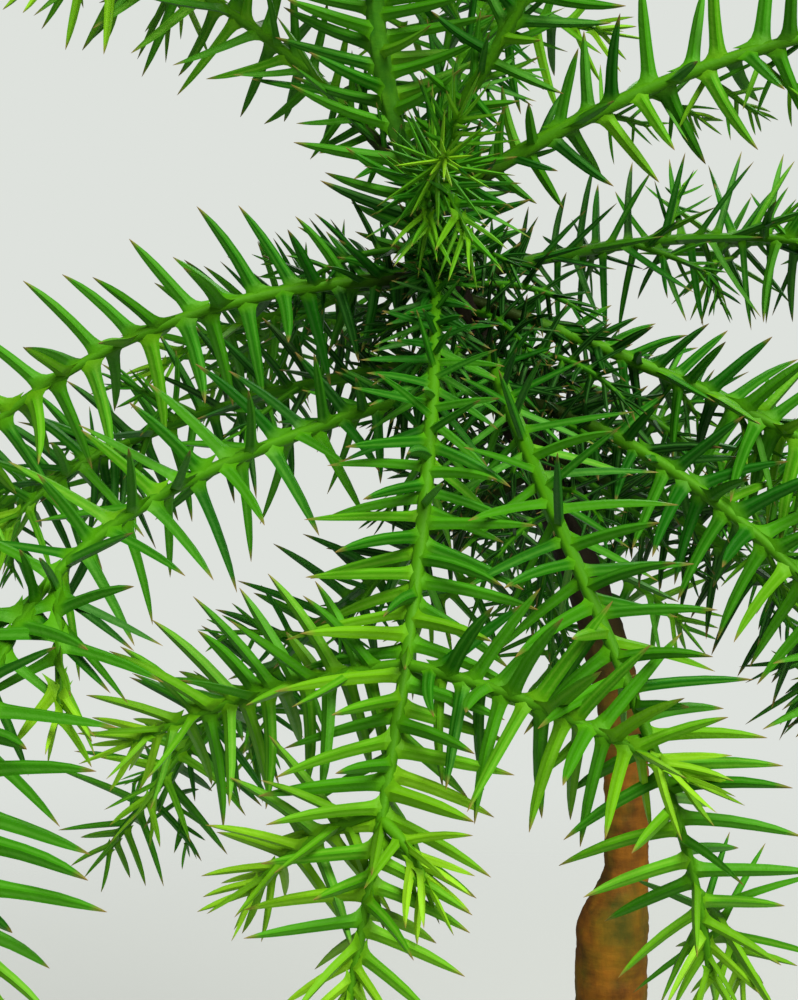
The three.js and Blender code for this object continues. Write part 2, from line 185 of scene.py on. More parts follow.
# Limbs that stand behind have finer needles
BEHIND = {"slim": 0.85, "flare": 0.6}
# Limbs as in the part's source: height, azimuth, length, rise and fall, tint. The low tints of
# limbs behind the trunk are painted shade.
LIMBS = (
    # First whorl, the lowest
    Limb(253, 336, 110, -11, -62, 0.44, bend=0.7, sprays=5, winding=12, sides=pair(0.62, 26)),
    Limb(243, 15, 112, -20, -65, 0.18, sprays=7, sides=pair(0.55, 34), rule=BEHIND),
    Limb(240, 85, 112, -10, -50, 0.22, sprays=8, sides=pair(0.5, 36), rule=BEHIND),
    Limb(240, 158, 112, -32, -52, 0.26, sprays=7, sides=pair(0.6, 30), rule=BEHIND),
    # Second whorl
    Limb(258, 215, 165, -13, -80, 0.39, bend=3, swing=90, rule={"lighten": -0.05, "sparse": 1.15},
         sides=[Side(0.57, 26, 1, leaves=32, droop=45, fresh=0), Side(0.8, 20, -1, fresh=-0.05)]),
    Limb(263, 275, 132, -10, -84, 0.36, bend=1.15, swing=74, sides=[Side(0.91, 24, 1)],
         rule={"lighten": 0.15, "slim": 0.9, "flare": 0.5, "stout": 1.12, "sparse": 0.86}),
    Limb(270, 350, 111, -17, -33, 0.44, bend=0.8, sprays=5, winding=15,
         sides=[Side(0.42, 34, 1, leaves=40, droop=10), Side(0.6, 30, 1, leaves=44, droop=-14)],
         rule={"inner": 62, "small": 0.42, "sparse": 0.9}),
    Limb(258, 50, 116, -5, -45, 0.2, sprays=8, sides=pair(0.55, 36), rule=BEHIND),
    Limb(260, 165, 112, -5, -35, 0.22, sprays=7, sides=pair(0.58, 32), rule=BEHIND),
    # Third whorl
    Limb(274, 189, 104, 0, -53, 0.46, bend=1.2, rule={"sparse": 1.25, "inner": 30, "small": 0.62}),
    Limb(281, 270, 144, 19, -73, 0.37, bend=0.3, swing=-39,
         sides=[*pair(0.65, 44, leaves=80, droop=18, fresh=0.11),
                Side(0.8, 24, -1, leaves=70, fresh=0.22), Side(0.81, 11, 1, leaves=60, fresh=0.22)],
         rule={"lighten": 0.28, "slim": 0.95, "flare": 0.6, "sparse": 0.7, "stout": 1.2,
               "neck": 0.5, "inner": 84, "small": 0.36, "crowd": 0.08}),
    Limb(274, 38, 116, 12, -8, 0.28, sprays=8, sides=pair(0.6, 30), rule=BEHIND),
    Limb(272, 118, 108, 5, -30, 0.25, sprays=7, sides=pair(0.55, 32), rule=BEHIND),
    # Fourth whorl
    Limb(287, 275, 38, 16, 2, 0.52,
         sides=[Side(0.5, 16, 1, leaves=46, droop=24, roll=62, fresh=-0.3),
                Side(0.45, 14, -1, leaves=44, droop=16, roll=78, fresh=-0.24),
                Side(0.6, 13, 1, leaves=34, droop=6, roll=-70, fresh=-0.2)],
         rule={"slim": 0.66, "sparse": 0.7, "inner": 60, "small": 0.6, "stout": 0.8, "crowd": 0.3}),
    Limb(286, 357, 98, 35, 5, 0.46, sprays=6, winding=14,
         rule={"sparse": 1.4, "slim": 1.08, "stout": 1.25}),
    Limb(294, 325, 78, 38, 75, 0.44, bend=0.7, rule={"sparse": 1.2}),
    Limb(292, 150, 96, 48, 10, 0.48, sides=pair(0.62, 26)),
    Limb(290, 75, 88, 40, 22, 0.32, sprays=6, sides=pair(0.6, 26), rule=BEHIND),
    # Fifth whorl
    Limb(335, 30, 68, 42, 20, 0.42, bough=False),
    Limb(338, 102, 64, 42, 20, 0.42, bough=False),
    Limb(336, 174, 68, 42, 20, 0.46, bough=False),
    Limb(339, 246, 64, 42, 20, 0.48, bough=False),
    Limb(334, 318, 68, 42, 20, 0.48, bough=False),
    # Sixth whorl
    Limb(366, 60, 42, 52, 34, 0.55, bough=False),
    Limb(369, 150, 38, 52, 34, 0.55, bough=False),
    Limb(367, 240, 42, 52, 34, 0.58, bough=False),
    Limb(368, 330, 38, 52, 34, 0.58, bough=False),
)
LEADER = Limb(TRUNK["top"] + 0.3, 20, 46, 86, 80, 0.58)

# Short dark twigs that fill the shade between the whorls, in a spiral up the trunk. Their deep
# green tint is painted shade.
TWIGS = {"count": 34, "from": 232, "pitch": 1.45, "first": 100, "tint": 0.08,
         "lengths": (15, 20, 25), "rises": (10, -2, -14, -26), "falls": (-25, -35, -45)}
# Fine twigs along the limbs that stand behind, no longer than the needles beside them
SPRAY = {"from": 26, "short_of_tip": 16, "length": 15, "leaves": 52, "droop": 12, "roll": 20}

# Turns between the first needles of one limb and the next, and of a limb and its side shoot
LIMB_TURN, SIDE_TURN, LEADER_TURN = 47, 60, 11.0

# What the trunk's own needles have as their owner, where a limb's have the limb's number
TRUNK_OWNER = -1
# The rule for each kind of shoot, as Shoot explains it
RULES = {
    "bough": {"radii": (1.15, 0.5), "start": -2.5, "inner": 44, "small": 0.52},
    "boughless": {"radii": (1.0, 0.5), "start": -1.5, "inner": 14, "small": 0.6},
    "side": {"radii": (0.78, 0.42), "first": 4.0, "inner": 8.0, "small": 0.7},
    "spray": {"radii": (0.6, 0.35), "small": 0.6, "slim": 0.8, "flare": 0.5, "twig": True},
    "twig": {"radii": (0.6, 0.35), "start": -1.5, "first": 2.0, "small": 0.62, "sparse": 0.7,
             "slim": 0.75, "flare": 0.4, "twig": True},
    "leader": {"radii": (1.2, 0.6), "start": -1.0, "first": 0.0},
}
# What side shoots take over from their limb's own rule
SHARED_RULES = ("sparse", "slim", "flare", "stout")

# How needles change over the `tip` stretch of a growing shoot, as shares of what they are along
# the rest, how upright they stand next to the trunk, how much fresher they are at the tip and
# darker next to the trunk, partly for age and partly as painted shade, from what part of the
# length a limb lightens, and how deep their roots stand in the stem
NEEDLES = {
    "tip": 15, "tip_pitch": 0.5, "tip_length": 0.5, "tip_spread": 0.4, "tip_bulk": 0.6,
    "inner_spread": 0.8, "tip_fresh": 0.29, "twig_tip_fresh": 0.05, "inner_dark": 0.15,
    "lighten_from": 0.3, "root_deep": 1.1,
}
# The same for the upper trunk, from its old to its young height: their length and thickness as
# shares of a full needle's, their angle and their tint
TRUNK_NEEDLES = {
    "from": 250, "old": 262, "young": 290, "pitch": 0.7, "flare": 0.7,
    "length": (0.5, 1.05), "angle": (64, 84), "bulk": (0.7, 1.02), "tint": (0.12, 0.42),
}
# Needles are left out where they pass too near to another limb's stem, which rods stand for:
# rods' length, number on the trunk, the stretch of a needle that counts and the gap it needs
CLEARANCE = {"rod": 7, "trunk_rods": 39, "from": 3.0, "to": 0.97, "gap": 0.6}
# Random spread of the needles' turns and angles, in degrees, and of their tint, length and bulk,
# and the least and most of their length, bulk and curl
UNEVEN = {"turn": 8, "angle": 5, "inner_angle": 17, "tint": 0.1, "length": 0.05, "bulk": 0.06,
          "lengths": (0.86, 1.08), "bulks": (0.85, 1.15), "curls": (0.3, 1.9)}
# Degrees by which needles above a stem lean forward more than those below
UPPER_LEAN = 8

# The painted shade round the whorls, which darkens the tint of needles there: heights between
# which it is deepest, how far its middle lies behind the trunk, and the distances from there at
# which it starts and ends
SHADE = {"low": 216, "high": 262, "soft": 22, "behind": 14, "full": 14, "none": 52, "depth": 0.3}


# Settings


def srgb(red, green, blue):
    """A colour given as screen values up to 255, as the linear values that shaders take."""
    return tuple(((value / 255 + 0.055) / 1.055) ** 2.4 for value in (red, green, blue))


def colour_setting(name, description, *screen):
    return FloatVectorProperty(
        name=name, description=description, default=srgb(*screen),
        subtype="COLOR", size=3, min=0, max=1,
    )


def length_setting(name, description, millimetres):
    return FloatProperty(
        name=name, description=description, default=millimetres * MM,
        subtype="DISTANCE", unit="LENGTH",
    )


def power_setting(name, description, watts):
    return FloatProperty(name=name, description=description, default=watts, unit="POWER")


def share_setting(name, description, default, most=1.0):
    return FloatProperty(name=name, description=description, default=default, min=0, max=most)


class KokedamaFoliage(bpy.types.PropertyGroup):
    """Sizes and colours of the needles and the green stems."""

    needle_length: length_setting("Needle length", "From the middle of the stem to the point", 17.5)
    needle_depth: length_setting("Needle depth", "Of the blade, in line with the stem", 2.0)
    needle_width: length_setting("Needle width", "Of the blade, round the stem", 1.5)
    needle_pitch: length_setting("Needle pitch", "Length of stem for each needle", 1.75)
    needle_spread: FloatProperty(
        name="Needle spread", description="Between a needle and the stem's own direction",
        default=math.radians(81), subtype="ANGLE", unit="ROTATION",
    )
    curl: share_setting("Curl", "How far a needle bends, as a share of its length", 0.1, 0.5)
    ranks: share_setting("Ranks", "How strongly needles part into two ranks", 0.5)
    seed: IntProperty(name="Seed", description="Start of the random numbers", default=7)
    deep_green: colour_setting("Deep green", "Oldest needles in the shade", 0, 38, 0)
    shade_green: colour_setting("Shade green", "Old needles", 16, 86, 1)
    leaf_green: colour_setting("Leaf green", "Grown needles", 54, 122, 5)
    sun_green: colour_setting("Sun green", "Needles near the tips", 92, 147, 10)
    young_green: colour_setting("Young green", "Needles of this year's tips", 122, 174, 22)
    stem_green: colour_setting("Stem green", "Stems and the roots of needles", 66, 124, 4)
    bloom: colour_setting("Bloom", "Pale bands down each needle", 146, 186, 110)
    point_brown: colour_setting("Point brown", "Dry points of the needles", 120, 92, 48)


class KokedamaBark(bpy.types.PropertyGroup):
    """Relief and colours of the trunk and the main boughs."""

    relief: length_setting("Relief", "Height of the bark's flakes", 0.35)
    # Painted shade: above this height the bark is painted near black
    dark_from: length_setting("Dark from", "Height at which the bark is dark with shade", 212)
    green_from: length_setting("Green from", "Height at which the stem is still green", 292)
    bark_brown: colour_setting("Bark brown", "Most of the bark", 110, 67, 8)
    bark_dark: colour_setting("Bark dark", "Cracks and old flakes", 42, 23, 5)
    bark_light: colour_setting("Bark light", "Fresh bark between the flakes", 148, 93, 14)


class KokedamaBall(bpy.types.PropertyGroup):
    """The moss ball and its twine."""

    moss_height: length_setting("Moss height", "Length of a sprig of moss", 2.3)
    sprigs: IntProperty(name="Sprigs", description="Number of sprigs of moss", default=29000, min=1)
    strand: length_setting("Strand", "Radius of one of the twine's three strands", 0.52)
    moss_deep: colour_setting("Moss deep", "Moss in the hollows", 48, 66, 22)
    moss_green: colour_setting("Moss green", "Most of the moss", 92, 120, 36)
    moss_bright: colour_setting("Moss bright", "Fresh tips", 146, 164, 58)
    twine_colour: colour_setting("Twine", "Jute", 186, 152, 100)


class KokedamaStage(bpy.types.PropertyGroup):
    """The backdrop and the lights."""

    backdrop: colour_setting("Backdrop", "Pale grey all round", 222, 226, 221)
    key: power_setting("Key light", "Power of the soft light above the camera", 192)
    fill: power_setting("Fill light", "Power of the soft light on the other side", 4)
    rim: power_setting("Rim light", "Power of the soft light behind the plant", 8)
    surround: share_setting("Surround", "How much the pale room lights the plant", 0.14, 10)


# Growth


def smooth(low, high, value):
    part = np.clip((np.asarray(value, float) - low) / (high - low), 0, 1)
    return part * part * (3 - 2 * part)


def mix(low, high, part):
    return low + (high - low) * part


def mixed(first, second, part):
    return tuple(mix(a, b, part) for a, b in zip(first, second))


def unit(vectors):
    return vectors / np.linalg.norm(vectors, axis=-1, keepdims=True)


def turned(first, second, turn):
    """Directions at those turns from the first towards the second."""
    return first * np.cos(turn)[:, None] + second * np.sin(turn)[:, None]


def trunk_point(z):
    """Middle of the trunk at each height."""
    z = np.asarray(z, float)
    lean = smooth(TRUNK["lean_low"], TRUNK["lean_high"], z)
    x = (
        TRUNK["shoulder"] * smooth(TRUNK["shoulder_low"], TRUNK["shoulder_high"], z)
        - TRUNK["lean"] * lean
        + TRUNK["straighten"] * smooth(TRUNK["lean_high"], TRUNK["top"], z)
    )
    return np.stack([x, TRUNK["back"] * lean, z], axis=-1)


def trunk_radius(z):
    return (
        TRUNK["radius"]
        - TRUNK["taper"] * smooth(TRUNK["taper_low"], TRUNK["taper_high"], z)
        - TRUNK["tip"] * smooth(TRUNK["taper_high"], TRUNK["top"], z)
        + TRUNK["shoulder"] * (1 - smooth(TRUNK["shoulder_low"], TRUNK["shoulder_high"], z))
        + TRUNK["flare"] * (1 - smooth(FOOT, FOOT + TRUNK["flare_height"], z))
    )


def headings(azimuth, rise):
    """Directions with those azimuths and rises, in degrees, and the two directions across each."""
    a, e = np.radians(azimuth), np.radians(rise)
    along = np.stack([np.cos(e) * np.cos(a), np.cos(e) * np.sin(a), np.sin(e)], axis=-1)
    side = np.stack([-np.sin(a), np.cos(a), 0 * a], axis=-1)
    return along, side, np.cross(side, along)


class Line:
    """The line of a limb: places and three directions at even steps along a length."""

    def __init__(self, length, *rows):
        self.length, self.rows = length, rows

    def at(self, distance):
        """Place, direction and the two directions across it, at each distance along the line."""
        distance = np.asarray(distance, float)
        steps = len(self.rows[0]) - 1
        place = np.clip(distance / self.length, 0, 1) * steps
        low = np.minimum(place.astype(int), steps - 1)
        part = (place - low)[..., None]
        point, *ways = (row[low] * (1 - part) + row[low + 1] * part for row in self.rows)
        ways = [unit(way) for way in ways]
        beyond = distance - np.clip(distance, 0, self.length)
        return point + ways[0] * beyond[..., None], *ways


def spine(start, azimuth, rise, fall, length, bend=1.0, swing=0.0, steps=48):
    """The line of a limb that leaves at one rise and ends at another."""
    parts = np.linspace(0, 1, steps + 1)

    def heading(u):
        return headings(azimuth + swing * u**2, rise + (fall - rise) * u**bend)

    strides = heading((parts[:-1] + parts[1:]) / 2)[0] * (length / steps)
    point = start + np.vstack([np.zeros(3), np.cumsum(strides, axis=0)])
    return Line(length, point, *heading(parts))


def trunk_gap(point):
    """How far a point lies outside the bark, measured square to the leaning trunk."""
    z = point[2]
    lean = (trunk_point(z + 1) - trunk_point(z - 1))[:2] / 2
    out = np.linalg.norm((point - trunk_point(z))[:2])
    return out / math.hypot(1, np.linalg.norm(lean)) - trunk_radius(z)


def slide_to_bark(point, along, clear=0.3, probe=0.1, least_slope=0.3, steps=8):
    """The place along a direction that is just clear of the bark."""
    for _ in range(steps):
        gap = trunk_gap(point)
        slope = (trunk_gap(point + along * probe) - gap) / probe
        point = point + along * (clear - gap) / max(slope, least_slope)
    return point


def limb_line(limb):
    """The line of a limb from just clear of the bark, or of the leader from the trunk's tip."""
    start = trunk_point(limb.z)
    if limb.z < TRUNK["top"]:
        radial = headings(limb.azimuth, 0)[0]
        along = headings(limb.azimuth, limb.rise)[0]
        start = slide_to_bark(start + radial * trunk_radius(limb.z), along)
    return spine(start, limb.azimuth, limb.rise, limb.fall, limb.length, limb.bend, limb.swing)


def side_line(parent, distance, side):
    """The line of a side shoot that leaves its parent at a distance along it."""
    point, along, across, under = parent.at(distance)
    angle, roll = math.radians(side.leaves), math.radians(side.roll)
    out = across * side.way * math.cos(roll) + under * math.sin(roll)
    heading = along * math.cos(angle) + out * math.sin(angle)
    azimuth = math.degrees(math.atan2(heading[1], heading[0]))
    rise = math.degrees(math.asin(heading[2]))
    return spine(point, azimuth, rise, rise - side.droop, side.length)


@dataclass
class Shoot:
    """A green limb and what it bears. Its stem starts at `start` and its needles at `first`.
    Over the `inner` stretch needles are short, `small` times the length, and crowded, `crowd`
    times the distance apart. `sparse`, `slim`, `flare` and `stout` scale the distance between
    needles, their thickness, the flare of their roots and the stem, and `neck` the stem next
    to the trunk. `lighten` is how much lighter the tip is, and a `twig` is too fine for other
    needles to keep clear of."""

    line: Line
    owner: int
    turn: float
    tint: float
    radii: tuple
    start: float = 0.0
    first: float = 3.0
    inner: float = 0.0
    small: float = 1.0
    sparse: float = 1.0
    slim: float = 1.0
    flare: float = 1.0
    stout: float = 1.0
    crowd: float = 0.36
    lighten: float = 0.08
    neck: float = 1.0
    twig: bool = False

    def radius(self, distance):
        distance = np.asarray(distance, float)
        part = np.clip(distance / self.line.length, 0, 1)
        neck = mix(self.neck, 1, smooth(0, self.inner + 1, distance))
        near, far = (radius * self.stout for radius in self.radii)
        return mix(near, far, part**1.5) * neck


def grow_shoots():
    """Every limb with its side shoots and sprays, the short twigs, and the leader."""
    shoots = []

    def grow(kind, line, owner, turn, tint, own=()):
        shoots.append(Shoot(line, owner, turn, tint, **{**RULES[kind], **dict(own)}))

    for index, limb in enumerate(LIMBS):
        line, turn = limb_line(limb), LIMB_TURN * index
        grow("bough" if limb.bough else "boughless", line, index, turn, limb.tint, limb.rule)
        shared = {key: limb.rule[key] for key in SHARED_RULES if key in limb.rule}
        for side in limb.sides:
            made = side_line(line, side.at * limb.length, side)
            grow("side", made, index, turn + SIDE_TURN, limb.tint + side.fresh, shared)
        for number in range(limb.sprays):
            part = (number + 0.5) / limb.sprays
            at = mix(SPRAY["from"], limb.length - SPRAY["short_of_tip"], part)
            roll = SPRAY["roll"] + limb.winding * number
            place = at / limb.length
            spray = Side(place, SPRAY["length"], 1, SPRAY["leaves"], SPRAY["droop"], roll)
            made = side_line(line, at, spray)
            grow("spray", made, index, turn + SIDE_TURN * number, limb.tint)
    for index in range(TWIGS["count"]):
        lengths, rises, falls = (TWIGS[key] for key in ("lengths", "rises", "falls"))
        twig = Limb(
            TWIGS["from"] + TWIGS["pitch"] * index, TWIGS["first"] + GOLDEN_ANGLE * index,
            lengths[index % len(lengths)], rises[index % len(rises)], falls[index % len(falls)],
            TWIGS["tint"],
        )
        owner = len(LIMBS) + 1 + index
        grow("twig", limb_line(twig), owner, LIMB_TURN * owner, twig.tint)
    grow("leader", limb_line(LEADER), len(LIMBS), LEADER_TURN, LEADER.tint)
    return shoots


def needle_stations(first, last, pitch, inner=0.0, crowd=1.0, tips=True):
    """Distances along a stem at which needles stand, closer together near the trunk, for the
    inner stretch, and near a growing tip."""
    found = []
    at = first
    while at < last:
        found.append(at)
        age = smooth(0, NEEDLES["tip"], last - at) if tips else 1.0
        grown = smooth(0, inner, at) if inner else 1.0
        at += pitch * mix(NEEDLES["tip_pitch"], 1.0, float(age)) * mix(crowd, 1.0, float(grown))
    return np.array(found)


# Meshes


def form_of(bm):
    """Points and faces of a bmesh, which is then freed."""
    bm.verts.index_update()
    points = np.array([v.co for v in bm.verts])
    faces = [[v.index for v in f.verts] for f in bm.faces]
    bm.free()
    return points, faces


def tube_form(sides, rings):
    """A closed tube, one long and one in radius: how far round and along its points lie, its
    faces, and each corner's u and v."""
    bm = bmesh.new()
    bmesh.ops.create_cone(
        bm, cap_ends=True, cap_tris=False, segments=sides, radius1=1, radius2=1, depth=1
    )
    lengthwise = [e for e in bm.edges if abs(e.verts[0].co.z - e.verts[1].co.z) > 0.5]
    bmesh.ops.subdivide_edges(bm, edges=lengthwise, cuts=rings - 1, use_grid_fill=True)
    bmesh.ops.recalc_face_normals(bm, faces=bm.faces)
    points, faces = form_of(bm)
    around = np.rint(np.arctan2(points[:, 0], points[:, 1]) / math.tau * sides) % sides / sides
    along = points[:, 2] + 0.5
    corners = []
    for face in faces:
        u = around[face]
        if len(face) == 4 and np.ptp(u) > 0.5:
            u = np.where(u < 0.5, u + 1, u)
        corners.extend(zip(u, along[face]))
    return around, along, faces, np.array(corners)


def faces_inward(points, faces):
    """Whether a closed form's faces run the wrong way round, told by the sign of its volume."""
    middle = points.mean(axis=0)
    volume = 0.0
    for face in faces:
        a, *others = (points[i] - middle for i in face)
        for b, c in zip(others, others[1:]):
            volume += np.dot(a, np.cross(b, c))
    return volume < 0


class Piece:
    """Collects forms, in millimetres, and makes one mesh of them."""

    def __init__(self, crisp=None):
        self.points, self.loops, self.sizes, self.corners = [], [], [], []
        self.count = 0
        self.crisp = crisp

    def add(self, points, faces, corners=None):
        """Adds copies of one form, with the points of each copy and, if it has a map, the u and v
        of each corner."""
        copies, each, _ = points.shape
        loops = np.concatenate([np.asarray(face) for face in faces])
        sizes = np.array([len(face) for face in faces])
        if faces_inward(points[0], faces):
            starts = np.concatenate([[0], np.cumsum(sizes)[:-1]])
            order = np.concatenate([np.arange(s, s + n)[::-1] for s, n in zip(starts, sizes)])
            loops = loops[order]
            corners = corners if corners is None else corners[:, order]
        shift = self.count + np.arange(copies)[:, None] * each
        self.points.append(points.reshape(-1, 3))
        self.loops.append((loops[None] + shift).ravel())
        self.sizes.append(np.tile(sizes, copies))
        if corners is not None:
            self.corners.append(corners.reshape(-1, 2))
        self.count += copies * each

    def build(self, name, material, replaces):
        if not self.count:
            raise RuntimeError(f"{name} has no form to build")
        points = np.concatenate(self.points) * MM
        loops = np.concatenate(self.loops)
        sizes = np.concatenate(self.sizes)
        starts = np.concatenate([[0], np.cumsum(sizes)[:-1]])
        mesh = bpy.data.meshes.new(name)
        mesh.vertices.add(len(points))
        mesh.vertices.foreach_set("co", points.astype(np.float32).ravel())
        mesh.loops.add(len(loops))
        mesh.loops.foreach_set("vertex_index", loops.astype(np.int32))
        mesh.polygons.add(len(sizes))
        mesh.polygons.foreach_set("loop_start", starts.astype(np.int32))
        mesh.update(calc_edges=True)
        mesh.shade_smooth()
        if self.corners:
            layer = mesh.uv_layers.new(name=BAKED_MAP)
            layer.uv.foreach_set("vector", np.concatenate(self.corners).astype(np.float32).ravel())
        mesh.validate()
        if self.crisp:
            mesh.set_sharp_from_angle(angle=self.crisp)
        return show(bpy.data.objects.new(name, mesh), material, replaces)


def show(piece, material, replaces):
    """Puts a finished piece in the scene, in place of its solids."""
    missing = [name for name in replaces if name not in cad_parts]
    if missing or not replaces:
        raise RuntimeError(f"{piece.name} has no solids to stand for: {missing}")
    bpy.context.scene.collection.objects.link(piece)
    piece.data.materials.clear()
    piece.data.materials.append(material)
    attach(piece, "root")
    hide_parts(*replaces)
    return piece


def all_nodes(*parts):
    return [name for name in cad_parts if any(part in name for part in parts)]


# Tints in a kind of growth, each with its own strip of the map, and the part of a strip in use
CELLS = 8
CELL_EDGE = 0.08
CELL_WIDTH = 1 - 2 * CELL_EDGE


def cells(choice, around):
    """u for a corner: each of a number of tints has its own strip of the map."""
    return (choice + CELL_EDGE + CELL_WIDTH * (around % 1.0001)) / CELLS


def ridges(distance, turn, stations, turns, girth):
    """Height of the leaf bases that run down a stem from each needle, from 0 to 1."""
    back = stations[None, :] + LEAF_BASE["ahead"] - distance[:, None]
    behind = np.clip(1 - back / LEAF_BASE["back"], 0, 1) ** 1.3
    before = np.clip(1 + back / LEAF_BASE["forward"], 0, 1) ** 2
    rise = np.where(back > 0, behind, before)
    off = (turn[:, None] - turns[None, :] + math.pi) % math.tau - math.pi
    width = np.exp(-((off * girth / LEAF_BASE["width"]) ** 2))
    return (rise * width).max(axis=1)


def stem_form(shoot, stations, turns):
    """A tube along a shoot, with the bases of its needles and a rounded tip."""
    length = shoot.line.length
    end = length + STEM["past"]
    rings = math.ceil((length - shoot.start) / STEM["ring"])
    around, along, faces, corners = tube_form(STEM["sides"], rings)
    distance = mix(shoot.start, end, along)
    point, _, side, under = shoot.line.at(distance)
    turn = around * math.tau
    bases = ridges(distance, turn, stations, turns, STEM_GIRTH)
    tip = np.sqrt(np.clip((end - distance) / STEM["closing"], 0, 1))
    reach = (shoot.radius(distance) - STEM["below"] + STEM["base"] * bases) * tip + STEM["least"]
    return (point + turned(side, under, turn) * reach[:, None])[None], faces, corners


def trunk_form(relief, foliage):
    """The trunk's surface: flutes and toes at its foot, flakes and bands, then leaf bases."""
    stations, turns, _ = trunk_needles(foliage)
    around, along, faces, _ = tube_form(BARK["sides"], BARK["rings"])
    z = mix(FOOT - BARK["sunk"], TRUNK["top"] + BARK["past"], along)
    turn = around * math.tau
    fluted, toed = (1 - smooth(*BARK[key], z - FOOT) for key in ("flutes_end", "toes_end"))
    waves = [np.cos(count * turn + start) for _, count, start in BARK["flutes"]]
    flutes = sum(deep * wave for (deep, _, _), wave in zip(BARK["flutes"], waves))
    reach = trunk_radius(np.maximum(z, FOOT)) + fluted * flutes
    reach = reach + BARK["toes"] * toed**2 * np.maximum(waves[0], 0)
    old = 1 - smooth(BARK["old_below"], BARK["green_above"], z)
    girth = TRUNK["radius"]
    spots = np.stack([np.cos(turn) * girth, np.sin(turn) * girth, z], axis=-1)
    flakes = [noise.fractal(Vector(spot), 0.9, 2.1, 4) for spot in spots * BARK["flakes"]]
    bands = [noise.noise(Vector(spot)) for spot in spots * BARK["bands"]]
    rough = BARK["flake"] * np.array(flakes) + BARK["band"] * np.abs(bands)
    reach = reach + old * relief * rough
    out = np.stack([np.cos(turn), np.sin(turn), 0 * turn], axis=-1)
    # Directions round the trunk follow the needles' own: side is +Y and under is +X.
    bases = ridges(z, np.arctan2(out[:, 0], out[:, 1]), stations, turns, TRUNK_GIRTH)
    reach = reach + (1 - old) * BARK["green_base"] * bases + BARK["old_base"] * old * bases
    return (trunk_point(z) + out * reach[:, None])[None], faces


# Needle profile: part of the length, half depth of the blade, what the root's flare adds to it
# behind and before, and half width. Depths and widths are shares of the blade's own.
NEEDLE_RINGS = np.array([
    (0.000, 0.80, 3.40, 1.40, 0.90),
    (0.030, 0.80, 2.20, 1.05, 1.10),
    (0.060, 0.82, 1.30, 0.72, 1.10),
    (0.100, 0.86, 0.72, 0.45, 1.05),
    (0.160, 0.92, 0.36, 0.25, 1.00),
    (0.260, 0.98, 0.12, 0.10, 1.00),
    (0.420, 1.00, 0.00, 0.00, 0.98),
    (0.620, 0.88, 0.00, 0.00, 0.84),
    (0.780, 0.66, 0.00, 0.00, 0.62),
    (0.890, 0.40, 0.00, 0.00, 0.37),
    (0.955, 0.20, 0.00, 0.00, 0.18),
    (1.000, 0.03, 0.00, 0.00, 0.03),
])
NEEDLE_SECTION = np.array([(0, 1), (1, 0), (0, -1), (-1, 0)])
KEEL_ANGLE = math.radians(58)


def needle_shapes(needles, depth, width):
    """Points of every needle's form, and each form's faces, u and v."""
    around, along, faces, corners = tube_form(len(NEEDLE_SECTION), len(NEEDLE_RINGS) - 1)
    ring = np.rint(along * (len(NEEDLE_RINGS) - 1)).astype(int)
    spot = np.rint(around * len(NEEDLE_SECTION)).astype(int) % len(NEEDLE_SECTION)
    part, blade, behind, before, wide = NEEDLE_RINGS[ring].T
    x, y = NEEDLE_SECTION[spot].T
    bulk, curl, length, flare, axis, keel, across, root = (
        needles[key][:, None]
        for key in ("bulk", "curl", "length", "flare", "axis", "keel", "across", "root")
    )
    deep = (blade + flare * np.where(y > 0, behind, before)) * y * depth / 2
    wide = wide * x * width / 2
    run = length * part
    middle = root + axis * run[..., None] - keel * (curl * part * run)[..., None]
    local = unit(keel + axis * (2 * curl * part)[..., None])
    points = middle + local * (bulk * deep)[..., None] + across * (bulk * wide)[..., None]
    v = NEEDLE_RINGS[np.rint(corners[:, 1] * (len(NEEDLE_RINGS) - 1)).astype(int), 0]
    return points, faces, corners[:, 0], v


def rod_distances(a, b, c, d):
    """Distance between each segment a-b and each segment c-d."""
    u, v = b[:, None] - a[:, None], (d - c)[None]
    w = a[:, None] - c[None]
    uu, vv = (u * u).sum(-1), (v * v).sum(-1)
    uv, uw, vw = (u * v).sum(-1), (u * w).sum(-1), (v * w).sum(-1)
    spread = np.maximum(uu * vv - uv * uv, 1e-9)
    s = np.clip((uv * vw - vv * uw) / spread, 0, 1)
    t = np.clip((uv * s + vw) / vv, 0, 1)
    s = np.clip((uv * t - uw) / uu, 0, 1)
    return np.linalg.norm(w + u * s[..., None] - v * t[..., None], axis=-1)


def clear_of_stems(needles, shoots):
    """Which needles pass clear of the trunk and of every limb but their own."""
    heights = np.linspace(FOOT, TRUNK["top"], CLEARANCE["trunk_rods"] + 1)
    lines = [(trunk_point(heights), trunk_radius(heights), TRUNK_OWNER)]
    for shoot in shoots:
        if not shoot.twig:
            count = max(2, math.ceil(shoot.line.length / CLEARANCE["rod"]))
            distance = np.linspace(0, shoot.line.length, count + 1)
            lines.append((shoot.line.at(distance)[0], shoot.radius(distance), shoot.owner))
    rods = [(points[:-1], points[1:], radii[:-1], [owner] * (len(points) - 1))
            for points, radii, owner in lines]
    starts, ends, radii, owners = (np.concatenate(values) for values in zip(*rods))
    root, axis, length = needles["root"], needles["axis"], needles["length"][:, None]
    near, far = root + axis * CLEARANCE["from"], root + axis * length * CLEARANCE["to"]
    gap = rod_distances(near, far, starts, ends) - radii[None] - CLEARANCE["gap"]
    return ((gap > 0) | (needles["owner"][:, None] == owners[None])).all(axis=1)


def rank_pull(along, side, under, turns):
    """How far needles part into two loose ranks, upward and downward on limbs that run
    left and right, and outward on limbs that hang."""
    flat = np.cross(along, np.array([0.0, 1.0, 0.0]))
    rank = np.arctan2((flat * under).sum(-1), (flat * side).sum(-1))
    return np.linalg.norm(flat, axis=-1) * np.sin(2 * (turns - rank))


